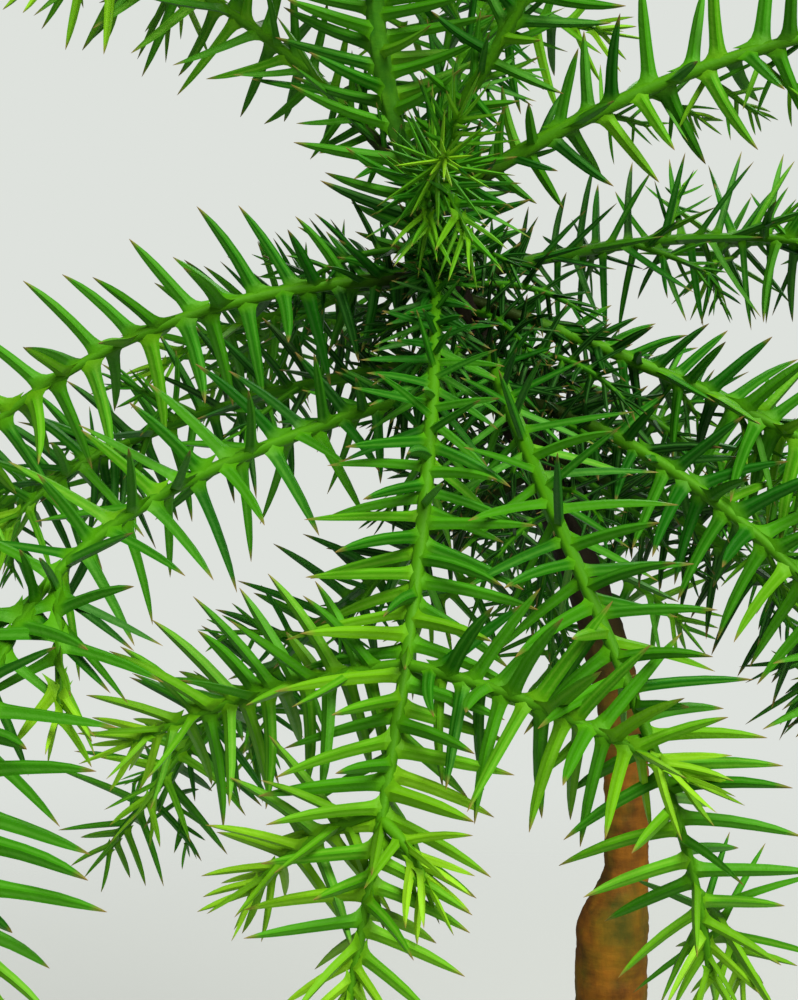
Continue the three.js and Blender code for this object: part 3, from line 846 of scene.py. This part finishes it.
def shade_at(points):
    """How deep in the painted shade of the whorls points lie, from 0 to 1."""
    x, y, z = points.T
    middle = trunk_point(z)
    away = np.hypot(x - middle[:, 0], y - middle[:, 1] - SHADE["behind"])
    level = smooth(SHADE["low"] - SHADE["soft"], SHADE["low"], z)
    level = level * (1 - smooth(SHADE["high"], SHADE["high"] + SHADE["soft"], z))
    return level * (1 - smooth(SHADE["full"], SHADE["none"], away))


def needle_row(
    line_at, turn, rng, settings, length, spread, bulk, tint, owner, out_by, flare, ranked=1.0
):
    """One row of needles round a stem, in a spiral of the golden angle. Their roots stand
    `out_by` from its middle, and `ranked` is how far they keep to their ranks, from 0 to 1."""
    point, along, side, under = line_at
    count = len(point)
    spiral = turn + np.arange(count) * GOLDEN_ANGLE
    turns = np.radians(spiral + rng.normal(0, UNEVEN["turn"], count))
    turns = turns - settings.ranks / 2 * ranked * rank_pull(along, side, under, turns)
    out = turned(side, under, turns)
    loose = UNEVEN["angle"] + UNEVEN["inner_angle"] * (1 - ranked * np.ones(count))
    spread = np.radians(spread - UPPER_LEAN * out[:, 2] + rng.normal(0, 1, count) * loose)
    # Painted shade: needles deep in the whorls get a darker tint
    tint = tint - SHADE["depth"] * shade_at(point) + rng.normal(0, UNEVEN["tint"], count)
    return turns, {
        "root": point + out * np.reshape(out_by, (-1, 1)),
        "axis": turned(along, out, spread),
        "keel": turned(out, -along, spread),
        "across": unit(np.cross(along, out)),
        "length": length * rng.normal(1, UNEVEN["length"], count).clip(*UNEVEN["lengths"]),
        "bulk": bulk * rng.normal(1, UNEVEN["bulk"], count).clip(*UNEVEN["bulks"]),
        "curl": settings.curl * rng.uniform(*UNEVEN["curls"], count),
        "flare": flare * np.ones(count),
        "tint": np.clip(tint, 0, 0.999),
        "owner": np.full(count, owner),
    }


def shoot_needles(shoot, index, settings):
    """Where a shoot's needles stand, their turns and their shapes: shorter and darker towards
    the trunk, partly as painted shade, short and bright at the tip."""
    rng = np.random.default_rng(settings.seed * 1000 + index)
    line = shoot.line
    pitch = settings.needle_pitch / MM * shoot.sparse
    stations = needle_stations(shoot.first, line.length + 0.5, pitch, shoot.inner, shoot.crowd)
    young = 1 - smooth(0, NEEDLES["tip"], line.length - stations)
    grown = smooth(0, shoot.inner, stations) if shoot.inner else np.ones(len(stations))
    size = mix(shoot.small, 1.0, grown) if shoot.inner else np.full(len(stations), shoot.small)
    length = settings.needle_length / MM * size * mix(1.0, NEEDLES["tip_length"], young)
    spread = np.degrees(settings.needle_spread) * mix(1.0, NEEDLES["tip_spread"], young**1.3)
    spread = spread * mix(NEEDLES["inner_spread"], 1.0, grown)
    bulk = shoot.slim * size**0.7 * mix(1.0, NEEDLES["tip_bulk"], young)
    fresh = NEEDLES["twig_tip_fresh" if shoot.twig else "tip_fresh"]
    tint = shoot.tint + shoot.lighten * smooth(NEEDLES["lighten_from"], 1, stations / line.length)
    # Next to the trunk needles are darker: older growth, and painted shade
    tint = tint + fresh * young - NEEDLES["inner_dark"] * (1 - grown)
    out_by = np.maximum(shoot.radius(stations) - NEEDLES["root_deep"], 0)
    return stations, *needle_row(
        line.at(stations), shoot.turn, rng, settings, length, spread, bulk, tint, shoot.owner,
        out_by, shoot.flare * size, grown,
    )


def trunk_needles(settings):
    """The same for the upper trunk: small and dark where it is old, long above the boughs."""
    rng = np.random.default_rng(settings.seed)
    pitch = settings.needle_pitch / MM * TRUNK_NEEDLES["pitch"]
    stations = needle_stations(TRUNK_NEEDLES["from"], TRUNK["top"], pitch, tips=False)
    age = smooth(TRUNK_NEEDLES["old"], TRUNK_NEEDLES["young"], stations)
    upright = headings(np.zeros(len(stations)), np.full(len(stations), 90.0))
    length, spread, bulk, tint = (
        mix(*TRUNK_NEEDLES[key], age) for key in ("length", "angle", "bulk", "tint")
    )
    return stations, *needle_row(
        (trunk_point(stations), *upright), 0.0, rng, settings, settings.needle_length / MM * length,
        spread, bulk, tint, TRUNK_OWNER, trunk_radius(stations) - NEEDLES["root_deep"],
        TRUNK_NEEDLES["flare"],
    )


# Materials


class Nodes:
    """Adds nodes to a node tree."""

    def __init__(self, tree):
        self.tree = tree

    def feed(self, sockets, values):
        """Gives sockets, by name or number, a value or another node's output."""
        for key, value in values.items():
            if isinstance(value, bpy.types.NodeSocket):
                self.tree.links.new(value, sockets[key])
            else:
                coloured = sockets[key].type == "RGBA"
                sockets[key].default_value = (*value, 1) if coloured else value

    def add(self, kind, inputs=None, **options):
        """A new node's outputs."""
        node = self.tree.nodes.new("ShaderNode" + kind)
        for key, value in options.items():
            setattr(node, key, value)
        self.feed(node.inputs, inputs or {})
        return node.outputs

    def blend(self, factor, first, second):
        values = {"Factor": factor, "A": first, "B": second}
        return self.add("Mix", values, data_type="RGBA")["Result"]

    def math(self, operation, *values):
        return self.add("Math", dict(enumerate(values)), operation=operation)[0]

    def ranged(self, value, low, high, to_low=0.0, to_high=1.0, shape="SMOOTHSTEP"):
        """What goes from one number to another while the value goes from low to high."""
        ends = {"From Min": low, "From Max": high, "To Min": to_low, "To Max": to_high}
        return self.add("MapRange", {"Value": value, **ends}, interpolation_type=shape)["Result"]


def shared_group(name, inputs, outputs, wire):
    """A shader node group, built once. Sockets have a kind and a default, or None for none,
    and wire gives the outputs their values."""
    if name in bpy.data.node_groups:
        return bpy.data.node_groups[name]
    group = bpy.data.node_groups.new(name, "ShaderNodeTree")
    for way, sockets in (("INPUT", inputs), ("OUTPUT", outputs)):
        for key, (kind, default) in sockets.items():
            made = group.interface.new_socket(key, in_out=way, socket_type="NodeSocket" + kind)
            if default is not None:
                made.default_value = default
    nodes = Nodes(group)
    given = group.nodes.new("NodeGroupInput").outputs
    nodes.feed(group.nodes.new("NodeGroupOutput").inputs, wire(nodes, given))
    return group


COLOUR, NUMBER, VECTOR = ("Color", None), ("Float", None), ("Vector", None)


def mottle_group():
    """Patches of two colours with a fine grain, for bark, stems, moss and twine."""

    def wire(nodes, given):
        noises = {"Vector": given["Place"], "Scale": given["Scale"], "Detail": 4, "Roughness": 0.6}
        grain = nodes.add("TexNoise", noises)["Fac"]
        low = nodes.math("SUBTRACT", 0.5, given["Contrast"])
        high = nodes.math("ADD", 0.5, given["Contrast"])
        patches = nodes.ranged(grain, low, high, shape="LINEAR")
        return {"Color": nodes.blend(patches, given["Dark"], given["Light"]), "Grain": grain}

    inputs = {"Place": VECTOR, "Scale": ("Float", 100), "Contrast": ("Float", 0.3),
              "Dark": COLOUR, "Light": COLOUR}
    return shared_group("Mottle", inputs, {"Color": COLOUR, "Grain": NUMBER}, wire)


# The pale band down a needle's faces: the shares of a face from its edge between which it rises,
# and what it rises from and to
BAND = (0.22, 0.46, 0, 0.5)
# Where the root's colour starts to give way, as a share of a needle's or a stem's length
ROOT_FROM = 0.04


def growth_group():
    """Colour of young growth from its own map: u deals out the tint, v runs from root to point.
    Each of a needle's four faces has a pale band down its middle."""
    faces = len(NEEDLE_SECTION) / CELL_WIDTH

    def wire(nodes, given):
        u, v, _ = nodes.add("SeparateXYZ", {0: given["Map"]})
        around = nodes.math("FRACT", nodes.math("MULTIPLY", u, CELLS))
        face = nodes.math("FRACT", nodes.math("MULTIPLY_ADD", around, faces, -faces * CELL_EDGE))
        band = nodes.ranged(nodes.math("PINGPONG", face, 0.5), *BAND)
        blade = nodes.blend(u, given["Darker"], given["Lighter"])
        blade = nodes.blend(band, blade, given["Band"])
        rooted = nodes.blend(nodes.ranged(v, ROOT_FROM, given["Root ends"]), given["Root"], blade)
        dry = nodes.ranged(v, given["Point starts"], 1, shape="LINEAR")
        return {"Color": nodes.blend(dry, rooted, given["Point"])}

    inputs = {"Map": VECTOR, "Root": COLOUR, "Darker": COLOUR, "Lighter": COLOUR, "Band": COLOUR,
              "Point": COLOUR, "Root ends": ("Float", 0.3), "Point starts": ("Float", 0.95)}
    return shared_group("Growth", inputs, {"Color": COLOUR}, wire)


class Finish(Nodes):
    """A new material with its shader, and the effects that its pieces share."""

    def __init__(self, name, roughness, gloss):
        self.material = bpy.data.materials.new(name)
        self.material.use_nodes = True
        super().__init__(self.material.node_tree)
        self.place = self.add("TexCoord")["Object"]
        self.shade({"Roughness": roughness, "Specular IOR Level": gloss})

    def shade(self, values):
        self.feed(self.tree.nodes["Principled BSDF"].inputs, values)

    def colour(self, value):
        self.shade({"Base Color": value})

    def mottle(self, scale, contrast, dark=BLACK, light=BLACK, stretch=None):
        place = self.place
        if stretch:
            place = self.add("Mapping", {"Vector": place, "Scale": stretch})["Vector"]
        values = {"Place": place, "Scale": scale, "Contrast": contrast}
        values |= {"Dark": dark, "Light": light}
        return self.add("Group", values, node_tree=mottle_group())

    def relief(self, height, strength, distance):
        values = {"Strength": strength, "Distance": distance, "Height": height}
        self.shade({"Normal": self.add("Bump", values)["Normal"]})


# Tint of the gloss on green growth
GREEN_GLOSS = (0.6, 1.0, 0.35)


def growth_material(name, colours, root_ends, point_starts, roughness):
    """A leathery green: glossy enough for soft highlights, with faint streaks."""
    finish = Finish(name, roughness, gloss=0.2)
    values = dict(zip(("Root", "Darker", "Lighter", "Band", "Point"), colours))
    values |= {"Map": finish.add("UVMap", uv_map=BAKED_MAP)["UV"],
               "Root ends": root_ends, "Point starts": point_starts}
    finish.colour(finish.add("Group", values, node_tree=growth_group())["Color"])
    grain = finish.mottle(scale=900, contrast=0.3)["Grain"]
    rough = finish.ranged(grain, 0, 1, roughness - 0.1, roughness + 0.12, "LINEAR")
    finish.shade({"Roughness": rough, "Specular Tint": GREEN_GLOSS})
    finish.relief(grain, strength=0.35, distance=0.0004)
    return finish.material


def bark_material(bark, foliage):
    """Orange brown bark with streaks and faint rings, with painted shade that darkens it between
    the whorls, then green.
    """
    finish = Finish("bark", roughness=0.8, gloss=0.15)
    brown, dark, light = bark.bark_brown, bark.bark_dark, bark.bark_light
    streaks = finish.mottle(330, 0.12, dark, brown, stretch=(1, 1, 0.3))
    patches = finish.mottle(120, 0.1, mixed(brown, dark, 0.45), light)
    rings = finish.mottle(520, 0.1, dark, light, stretch=(0.22, 0.22, 1))
    algae = finish.mottle(75, 0.08, BLACK, WHITE)
    green = finish.mottle(260, 0.25, foliage.shade_green, foliage.stem_green)
    _, _, height = finish.add("SeparateXYZ", {0: finish.place})
    # Painted shade: above dark_from the bark fades to near black, where the whorls shade it
    shade = finish.ranged(height, bark.dark_from - 0.03, bark.dark_from + 0.012)
    shaded = mixed(mixed(dark, foliage.deep_green, 0.3), BLACK, 0.6)
    rise = finish.ranged(height, bark.green_from - 0.02, bark.green_from + 0.016)
    surface = finish.blend(0.5, streaks["Color"], patches["Color"])
    surface = finish.blend(0.12, surface, rings["Color"])
    film = finish.math("MULTIPLY", algae["Color"], 0.3)
    surface = finish.blend(film, surface, foliage.shade_green)
    surface = finish.blend(shade, surface, shaded)
    finish.colour(finish.blend(rise, surface, green["Color"]))
    grain = finish.blend(0.5, streaks["Grain"], rings["Grain"])
    finish.relief(grain, strength=0.8, distance=0.0006)
    return finish.material


def moss_material(name, dark, light):
    finish = Finish(name, roughness=0.9, gloss=0.2)
    finish.colour(finish.mottle(130, 0.16, dark, light)["Color"])
    grain = finish.mottle(scale=1500, contrast=0.3)["Grain"]
    finish.relief(grain, strength=0.6, distance=0.0006)
    return finish.material


def twine_material(jute):
    finish = Finish("twine", roughness=0.92, gloss=0.2)
    fibres = finish.mottle(900, 0.22, mixed(jute, (0.1, 0.06, 0.02), 0.55), jute)
    finish.colour(fibres["Color"])
    finish.relief(fibres["Grain"], strength=0.7, distance=0.0004)
    return finish.material


def floor_material(pale):
    """A pale matt surface that fades out towards its rim, so that no edge shows."""
    finish = Finish("floor", roughness=0.9, gloss=0.1)
    away = finish.add("VectorMath", {0: finish.place}, operation="LENGTH")["Value"]
    finish.colour(pale)
    finish.shade({"Alpha": finish.ranged(away, 0.32, 0.95, 1, 0, "SMOOTHERSTEP")})
    return finish.material


def pale_world(settings):
    """An even pale room: bright behind the plant, and softer where it lights it."""
    world = bpy.data.worlds.new("room")
    world.use_nodes = True
    world.node_tree.nodes.clear()
    nodes = Nodes(world.node_tree)
    seen = nodes.add("Background", {"Color": settings.backdrop})
    lighting = nodes.add("Background", {"Color": settings.backdrop, "Strength": settings.surround})
    camera_ray = nodes.add("LightPath")["Is Camera Ray"]
    shown = nodes.add("MixShader", {0: camera_ray, 1: lighting[0], 2: seen[0]})
    nodes.add("OutputWorld", {"Surface": shown[0]})
    return world


# The plant


class KOKEDAMA_OT_bark(bpy.types.Operator):
    """Wrap the trunk in flaking bark, with its root flare and the leaf bases near its top"""

    bl_idname = "kokedama.bark"
    bl_label = "Trunk bark"

    def execute(self, context):
        bark, foliage = context.scene.kokedama_bark, context.scene.kokedama_foliage
        piece = Piece()
        piece.add(*trunk_form(bark.relief / MM, foliage))
        piece.build("trunk_bark", bark_material(bark, foliage), ["trunk"])
        return {"FINISHED"}


class KOKEDAMA_OT_stems(bpy.types.Operator):
    """Grow the boughs and the green stems, with the bases of their needles"""

    bl_idname = "kokedama.stems"
    bl_label = "Boughs and stems"

    def execute(self, context):
        bark, foliage = context.scene.kokedama_bark, context.scene.kokedama_foliage
        piece = Piece()
        for index, shoot in enumerate(grow_shoots()):
            stations, turns, _ = shoot_needles(shoot, index, foliage)
            points, faces, corners = stem_form(shoot, stations, turns)
            tint = (shoot.tint + shoot.lighten / 2) * STEM_MAP["brighter"]
            choice = int(np.clip(tint, 0, 0.99) * CELLS)
            older = 0 if shoot.start == RULES["bough"]["start"] else STEM_MAP["old"]
            place = (older + corners[:, 1] * shoot.line.length) / STEM_MAP["length"]
            piece.add(points, faces, np.stack([cells(choice, corners[:, 0]), place], -1)[None])
        colours = (
            mixed(foliage.deep_green, bark.bark_dark, 0.35),
            mixed(foliage.deep_green, foliage.shade_green, 0.7),
            foliage.stem_green,
            foliage.stem_green,
            foliage.young_green,
        )
        root_ends = STEM_MAP["old"] / STEM_MAP["length"]
        material = growth_material(
            "young_stem", colours, root_ends, point_starts=0.99, roughness=0.55
        )
        nodes = all_nodes("_bough_", "_shoot_", "leader")
        piece.build("limb_stems", material, nodes)
        return {"FINISHED"}


class KOKEDAMA_OT_needles(bpy.types.Operator):
    """Set the needles round every stem, in four tints from deep to young green"""

    bl_idname = "kokedama.needles"
    bl_label = "Needles"

    def execute(self, context):
        foliage = context.scene.kokedama_foliage
        shoots = grow_shoots()
        rows = [shoot_needles(shoot, index, foliage)[2] for index, shoot in enumerate(shoots)]
        rows.append(trunk_needles(foliage)[2])
        needles = {key: np.concatenate([row[key] for row in rows]) for key in rows[0]}
        free = clear_of_stems(needles, shoots)
        palette = (foliage.deep_green, foliage.shade_green, foliage.leaf_green,
                   foliage.sun_green, foliage.young_green)
        kinds = ("needles_deep", "needles_shade", "needles_grown", "needles_young")
        nodes = all_nodes("_shoot_", "leader", "trunk")
        for number, kind in enumerate(kinds):
            chosen = free & (np.floor(needles["tint"] * len(kinds)) == number)
            if not chosen.any():
                raise RuntimeError(f"no needle has a tint for {kind}")
            some = {key: values[chosen] for key, values in needles.items()}
            depth, width = foliage.needle_depth / MM, foliage.needle_width / MM
            points, faces, u, v = needle_shapes(some, depth, width)
            choice = np.floor((some["tint"] * len(kinds) - number) * CELLS)
            u = cells(choice[:, None], u[None])
            piece = Piece(KEEL_ANGLE)
            piece.add(points, faces, np.stack([u, np.broadcast_to(v, u.shape)], -1))
            darker, lighter = palette[number], palette[number + 1]
            root = mixed(lighter, foliage.stem_green, 0.6)
            band = mixed(lighter, foliage.bloom, 0.1)
            colours = (root, darker, lighter, band, foliage.point_brown)
            material = growth_material(
                kind, colours, root_ends=0.17, point_starts=0.86, roughness=0.5
            )
            piece.build(kind, material, nodes)
        return {"FINISHED"}


# The ball


def ball_point(azimuth, latitude, outwards=0.0):
    uneven = np.sin(3 * azimuth + 2 * latitude) + 0.7 * np.sin(5 * azimuth - 3 * latitude + 1)
    lump = 1 + BALL["lump"] * uneven * np.cos(latitude)
    r = (BALL["radius"] * lump + outwards) * np.cos(latitude)
    z = BALL_CENTRE + (BALL["half_height"] + outwards) * np.sin(latitude)
    return np.stack([r * np.cos(azimuth), r * np.sin(azimuth), z], axis=-1)


def twine_centre(tilt, climbs, azimuth, outwards=0.0):
    slope = math.tan(math.radians(tilt)) * BALL["radius"] / BALL["half_height"]
    latitude = np.arctan(slope * np.cos(azimuth - math.radians(climbs)))
    return ball_point(azimuth, latitude, TWINE["clearance"] + TWINE["radius"] + outwards)


def twine_lines():
    """The middle of each turn of twine. A later turn passes over an earlier one."""
    azimuth = np.linspace(0, math.tau, TWINE["steps"] + 1)
    lines = []
    for turn in TWINE["turns"]:
        line = twine_centre(*turn, azimuth)
        lift = np.zeros(len(azimuth))
        for other in lines:
            gap = np.linalg.norm(line[:, None] - other[None], axis=-1).min(axis=1)
            lift = np.maximum(lift, TWINE["over"] * (1 - smooth(*TWINE["crossing"], gap)))
        lines.append(twine_centre(*turn, azimuth, lift))
    return lines


def near_twine(points, every=4, batch_size=4000):
    """Distance from each point to the closest twine, in millimetres."""
    path = np.concatenate([line[::every] for line in twine_lines()])
    starts = range(0, len(points), batch_size)
    batches = (points[start:start + batch_size] for start in starts)
    return np.concatenate([
        np.linalg.norm(batch[:, None] - path[None], axis=-1).min(axis=1) for batch in batches
    ])


def cushions(points, gap):
    """Height of the moss at points on the ball, in millimetres: low cushions that are pressed
    in beside the twine, whose distance is the gap, and thin out towards the floor."""
    found = []
    for spot in map(Vector, points):
        nearest = noise.voronoi(spot * CUSHIONS["spacing"])[0][0]
        cushion = 1 - min(nearest / CUSHIONS["wide"], 1) ** 2
        lump = noise.fractal(spot * CUSHIONS["finer"], 0.8, 2.0, 3)
        found.append(CUSHIONS["high"] * cushion + CUSHIONS["lump"] * lump - CUSHIONS["sunk"])
    pressed = smooth(*CUSHIONS["from_twine"], gap)
    return np.array(found) * pressed * smooth(*CUSHIONS["from_floor"], points[:, 2])


class KOKEDAMA_OT_ball(bpy.types.Operator):
    """Model the ball with its cushions of moss, pressed in under the twine"""

    bl_idname = "kokedama.ball"
    bl_label = "Moss ball"

    def execute(self, context):
        settings = context.scene.kokedama_ball
        bm = bmesh.new()
        bmesh.ops.create_icosphere(bm, subdivisions=GROUND["subdivisions"], radius=1)
        ways = np.array([v.co for v in bm.verts])
        azimuth = np.arctan2(ways[:, 1], ways[:, 0])
        latitude = np.arcsin(np.clip(ways[:, 2], -1, 1))
        base = ball_point(azimuth, latitude)
        gap = near_twine(base)
        groove = GROUND["groove"] * (1 - smooth(*GROUND["groove_ends"], gap))
        points = ball_point(azimuth, latitude, cushions(base, gap) - groove)
        z = points[:, 2]
        away = np.hypot(points[:, 0], points[:, 1])
        seat = mix(BALL_TOP - GROUND["seat_deep"], z, smooth(*GROUND["seat_ends"], away))
        points[:, 2] = np.where(z > BALL_TOP - GROUND["seat_starts"], seat, z)
        middle = np.array([0, 0, BALL_CENTRE])
        below = points[:, 2] < 0
        rays = points[below] - middle
        points[below] = middle + rays * (BALL_CENTRE / -rays[:, 2])[:, None]
        for vertex, point in zip(bm.verts, points * MM):
            vertex.co = point
        mesh = bpy.data.meshes.new("moss_ground")
        bm.to_mesh(mesh)
        bm.free()
        mesh.shade_smooth()
        # Painted shade: the ground between the sprigs is darkened with black below the moss's
        # colour
        dark = mixed(settings.moss_deep, BLACK, 0.4)
        light = mixed(settings.moss_deep, settings.moss_green, 0.5)
        material = moss_material("moss_ground", dark, light)
        show(bpy.data.objects.new("moss_ground", mesh), material, ["moss_ball"])
        return {"FINISHED"}


def sprig_form():
    """A sprig of moss: one upright leaf and two that lean out, each a slim three-sided cone."""
    bm = bmesh.new()
    for lean, turn, size in SPRIG_LEAVES:
        thick = SPRIGS["thick"] * size
        made = bmesh.ops.create_cone(
            bm, cap_ends=False, segments=3, radius1=thick, radius2=0.0, depth=size
        )
        for vertex in made["verts"]:
            up = vertex.co.z + size / 2
            vertex.co.x += lean * up * math.cos(turn)
            vertex.co.y += lean * up * math.sin(turn)
            vertex.co.z = up * (1 - SPRIGS["bowed"] * abs(lean))
    bmesh.ops.remove_doubles(bm, verts=bm.verts, dist=0.001)
    return form_of(bm)


def placed_sprigs(root, axis, long, spin):
    """Copies of the sprig, each on its root, along its axis, and none below the floor."""
    points, faces = sprig_form()
    first = unit(np.cross(axis, np.array([0.31, 0.52, 0.79])))
    second = np.cross(axis, first)
    a, b = turned(first, second, spin), turned(second, -first, spin)
    x, y, z = (points[:, i][None, :, None] for i in range(3))
    shaped = a[:, None] * x + b[:, None] * y + axis[:, None] * z
    shaped = root[:, None] + long[:, None, None] * shaped
    shaped[..., 2] = np.maximum(shaped[..., 2], 0.02)
    return shaped, faces


class KOKEDAMA_OT_moss(bpy.types.Operator):
    """Cover the ball with sprigs of moss in three tints"""

    bl_idname = "kokedama.moss"
    bl_label = "Moss sprigs"

    def execute(self, context):
        settings = context.scene.kokedama_ball
        rng = np.random.default_rng(SPRIGS["seed"])
        count = settings.sprigs
        heights = mix(SPRIGS["lowest"], SPRIGS["highest"], (np.arange(count) + 0.5) / count)
        latitude = np.arcsin(np.clip(heights, -1, 1))
        azimuth = np.radians(np.arange(count) * GOLDEN_ANGLE)
        azimuth = azimuth + rng.normal(0, SPRIGS["stray"], count)
        base = ball_point(azimuth, latitude)
        gap = near_twine(base)
        height = cushions(base, gap)
        root = ball_point(azimuth, latitude, height - SPRIGS["root_deep"])
        out = unit(ball_point(azimuth, latitude, height + 1.0) - root)
        tilt = rng.normal(0, SPRIGS["lean"], (count, 3))
        tilt[:, 2] += SPRIGS["upright"]
        axis = unit(out + tilt)
        long = settings.moss_height / MM * rng.uniform(*SPRIGS["lengths"], count)
        long = long * mix(SPRIGS["by_twine"], 1, smooth(*SPRIGS["grown"], gap))
        tips = root + axis * long[:, None]
        bare = np.where(root[:, 2] > BALL_CENTRE, SPRIGS["bare_foot"], 0)
        keep = (gap > SPRIGS["bare_twine"]) & (np.hypot(root[:, 0], root[:, 1]) > bare)
        keep &= (root[:, 2] > SPRIGS["lowest_root"]) & (tips[:, 2] > SPRIGS["lowest_tip"])
        patches = np.array([noise.noise(Vector(point) * SPRIGS["patch"]) for point in base])
        tint = 0.5 + patches * SPRIGS["patchy"] + rng.normal(0, SPRIGS["uneven"], count)
        tint = np.clip(tint, 0, 0.999)
        deep, green = settings.moss_deep, settings.moss_green
        kinds = (
            ("moss_deep", deep, mixed(deep, green, 0.7)),
            ("moss_green", mixed(deep, green, 0.6), green),
            ("moss_bright", green, settings.moss_bright),
        )
        for number, (name, dark, light) in enumerate(kinds):
            chosen = keep & (np.floor(tint * len(kinds)) == number)
            if not chosen.any():
                raise RuntimeError(f"no sprig has a tint for {name}")
            spin = rng.uniform(0, math.tau, count)
            piece = Piece()
            piece.add(*placed_sprigs(*(row[chosen] for row in (root, axis, long, spin))))
            piece.build(name, moss_material(name, dark, light), ["moss_ball"])
        return {"FINISHED"}


class KOKEDAMA_OT_twine(bpy.types.Operator):
    """Bind the ball with three turns of three-strand twine"""

    bl_idname = "kokedama.twine"
    bl_label = "Twine"

    def execute(self, context):
        settings = context.scene.kokedama_ball
        strand = settings.strand / MM
        steps, strands = TWINE["steps"], TWINE["strands"]
        around, along, faces, _ = tube_form(TWINE["sides"], steps)
        quads = [face for face in faces if len(face) == 4]
        index = np.rint(along * steps).astype(int) % steps
        here = around * math.tau
        (ridge, ridges_round, run), (slub, slow) = TWINE["fibre"], TWINE["slub"]
        piece = Piece()
        for line in twine_lines():
            line = line[:-1]
            forward = unit(np.roll(line, -1, axis=0) - np.roll(line, 1, axis=0))
            across = unit(np.cross(line - np.array([0, 0, BALL_CENTRE]), forward))
            out = np.cross(forward, across)
            length = np.linalg.norm(np.roll(line, -1, axis=0) - line, axis=1).sum()
            twists = round(length / TWINE["lay"])
            for number in range(strands):
                turn = index / steps * twists * math.tau + number * math.tau / strands
                offset = turned(out[index], across[index], turn)
                fibre = 1 + ridge * np.sin(ridges_round * here + index * run)
                fibre = fibre + slub * np.sin(index * slow + number)
                spot = turned(out[index], across[index], here)
                centre = line[index] + offset * strand * TWINE["apart"]
                piece.add((centre + spot * (strand * fibre)[:, None])[None], quads)
        material = twine_material(settings.twine_colour)
        twine = piece.build("twine_strands", material, ["twine"])
        bm = bmesh.new()
        bm.from_mesh(twine.data)
        bmesh.ops.remove_doubles(bm, verts=bm.verts, dist=0.00001)
        bmesh.ops.recalc_face_normals(bm, faces=bm.faces)
        bm.to_mesh(twine.data)
        bm.free()
        return {"FINISHED"}


# The stage


def place_light(name, power, place, width, tone):
    data = bpy.data.lights.new(name, "AREA")
    data.shape = "DISK"
    data.size = width
    data.energy = power
    data.color = tone
    lamp = bpy.data.objects.new(name, data)
    bpy.context.scene.collection.objects.link(lamp)
    lamp.location = place
    lamp.rotation_euler = (Vector(LIT_PLACE) - Vector(place)).to_track_quat("-Z", "Y").to_euler()


def place_camera(scene):
    data = bpy.data.cameras.new("camera")
    data.sensor_width = SENSOR
    data.lens = SENSOR * CAMERA["focal_pixels"] / FRAME_HEIGHT
    data.clip_start = 0.01
    data.clip_end = 20
    camera = bpy.data.objects.new("camera", data)
    scene.collection.objects.link(camera)
    pitch = math.radians(CAMERA["pitch"])
    camera.location = (
        CAMERA["x"],
        -CAMERA["away"] * math.cos(pitch),
        CAMERA["aim_height"] + CAMERA["away"] * math.sin(pitch),
    )
    camera.rotation_euler = (math.pi / 2 - pitch, 0, 0)
    scene.camera = camera


class KOKEDAMA_OT_stage(bpy.types.Operator):
    """Set up the pale floor, the room, the soft lights and the camera"""

    bl_idname = "kokedama.stage"
    bl_label = "Stage"

    def execute(self, context):
        scene = context.scene
        settings = scene.kokedama_stage
        bm = bmesh.new()
        bmesh.ops.create_circle(bm, cap_ends=True, segments=128, radius=1.0)
        mesh = bpy.data.meshes.new("floor")
        bm.to_mesh(mesh)
        bm.free()
        floor = bpy.data.objects.new("floor", mesh)
        scene.collection.objects.link(floor)
        mesh.materials.append(floor_material(mixed(settings.backdrop, BLACK, 0.4)))
        scene.world = pale_world(settings)
        scene.view_settings.view_transform = "Standard"
        scene.view_settings.look = "None"
        for name, (place, width, tone) in LIGHTS.items():
            place_light(name, getattr(settings, name), place, width, tone)
        place_camera(scene)
        return {"FINISHED"}


class KOKEDAMA_PT_panel(bpy.types.Panel):
    """Lists the settings and the pieces."""

    bl_label = "Kokedama"
    bl_idname = "KOKEDAMA_PT_panel"
    bl_space_type = "VIEW_3D"
    bl_region_type = "UI"
    bl_category = "Kokedama"

    def draw(self, context):
        for group, _ in SETTINGS:
            settings = getattr(context.scene, group)
            box = self.layout.box()
            for key in settings.bl_rna.properties.keys():
                if key not in ("rna_type", "name"):
                    box.prop(settings, key)
        for operator in OPERATORS:
            self.layout.operator(operator.bl_idname)


SETTINGS = (
    ("kokedama_foliage", KokedamaFoliage),
    ("kokedama_bark", KokedamaBark),
    ("kokedama_ball", KokedamaBall),
    ("kokedama_stage", KokedamaStage),
)
OPERATORS = (
    KOKEDAMA_OT_stage,
    KOKEDAMA_OT_bark,
    KOKEDAMA_OT_stems,
    KOKEDAMA_OT_needles,
    KOKEDAMA_OT_ball,
    KOKEDAMA_OT_moss,
    KOKEDAMA_OT_twine,
)
CLASSES = (*(group for _, group in SETTINGS), *OPERATORS, KOKEDAMA_PT_panel)


def register():
    for made in CLASSES:
        bpy.utils.register_class(made)
    for name, group in SETTINGS:
        setattr(bpy.types.Scene, name, PointerProperty(type=group))


def unregister():
    for name, _ in SETTINGS:
        delattr(bpy.types.Scene, name)
    for made in reversed(CLASSES):
        bpy.utils.unregister_class(made)


def main():
    register()
    bpy.ops.kokedama.stage()
    bpy.ops.kokedama.bark()
    bpy.ops.kokedama.stems()
    bpy.ops.kokedama.needles()
    bpy.ops.kokedama.ball()
    bpy.ops.kokedama.moss()
    bpy.ops.kokedama.twine()


if __name__ == "__main__":
    main()
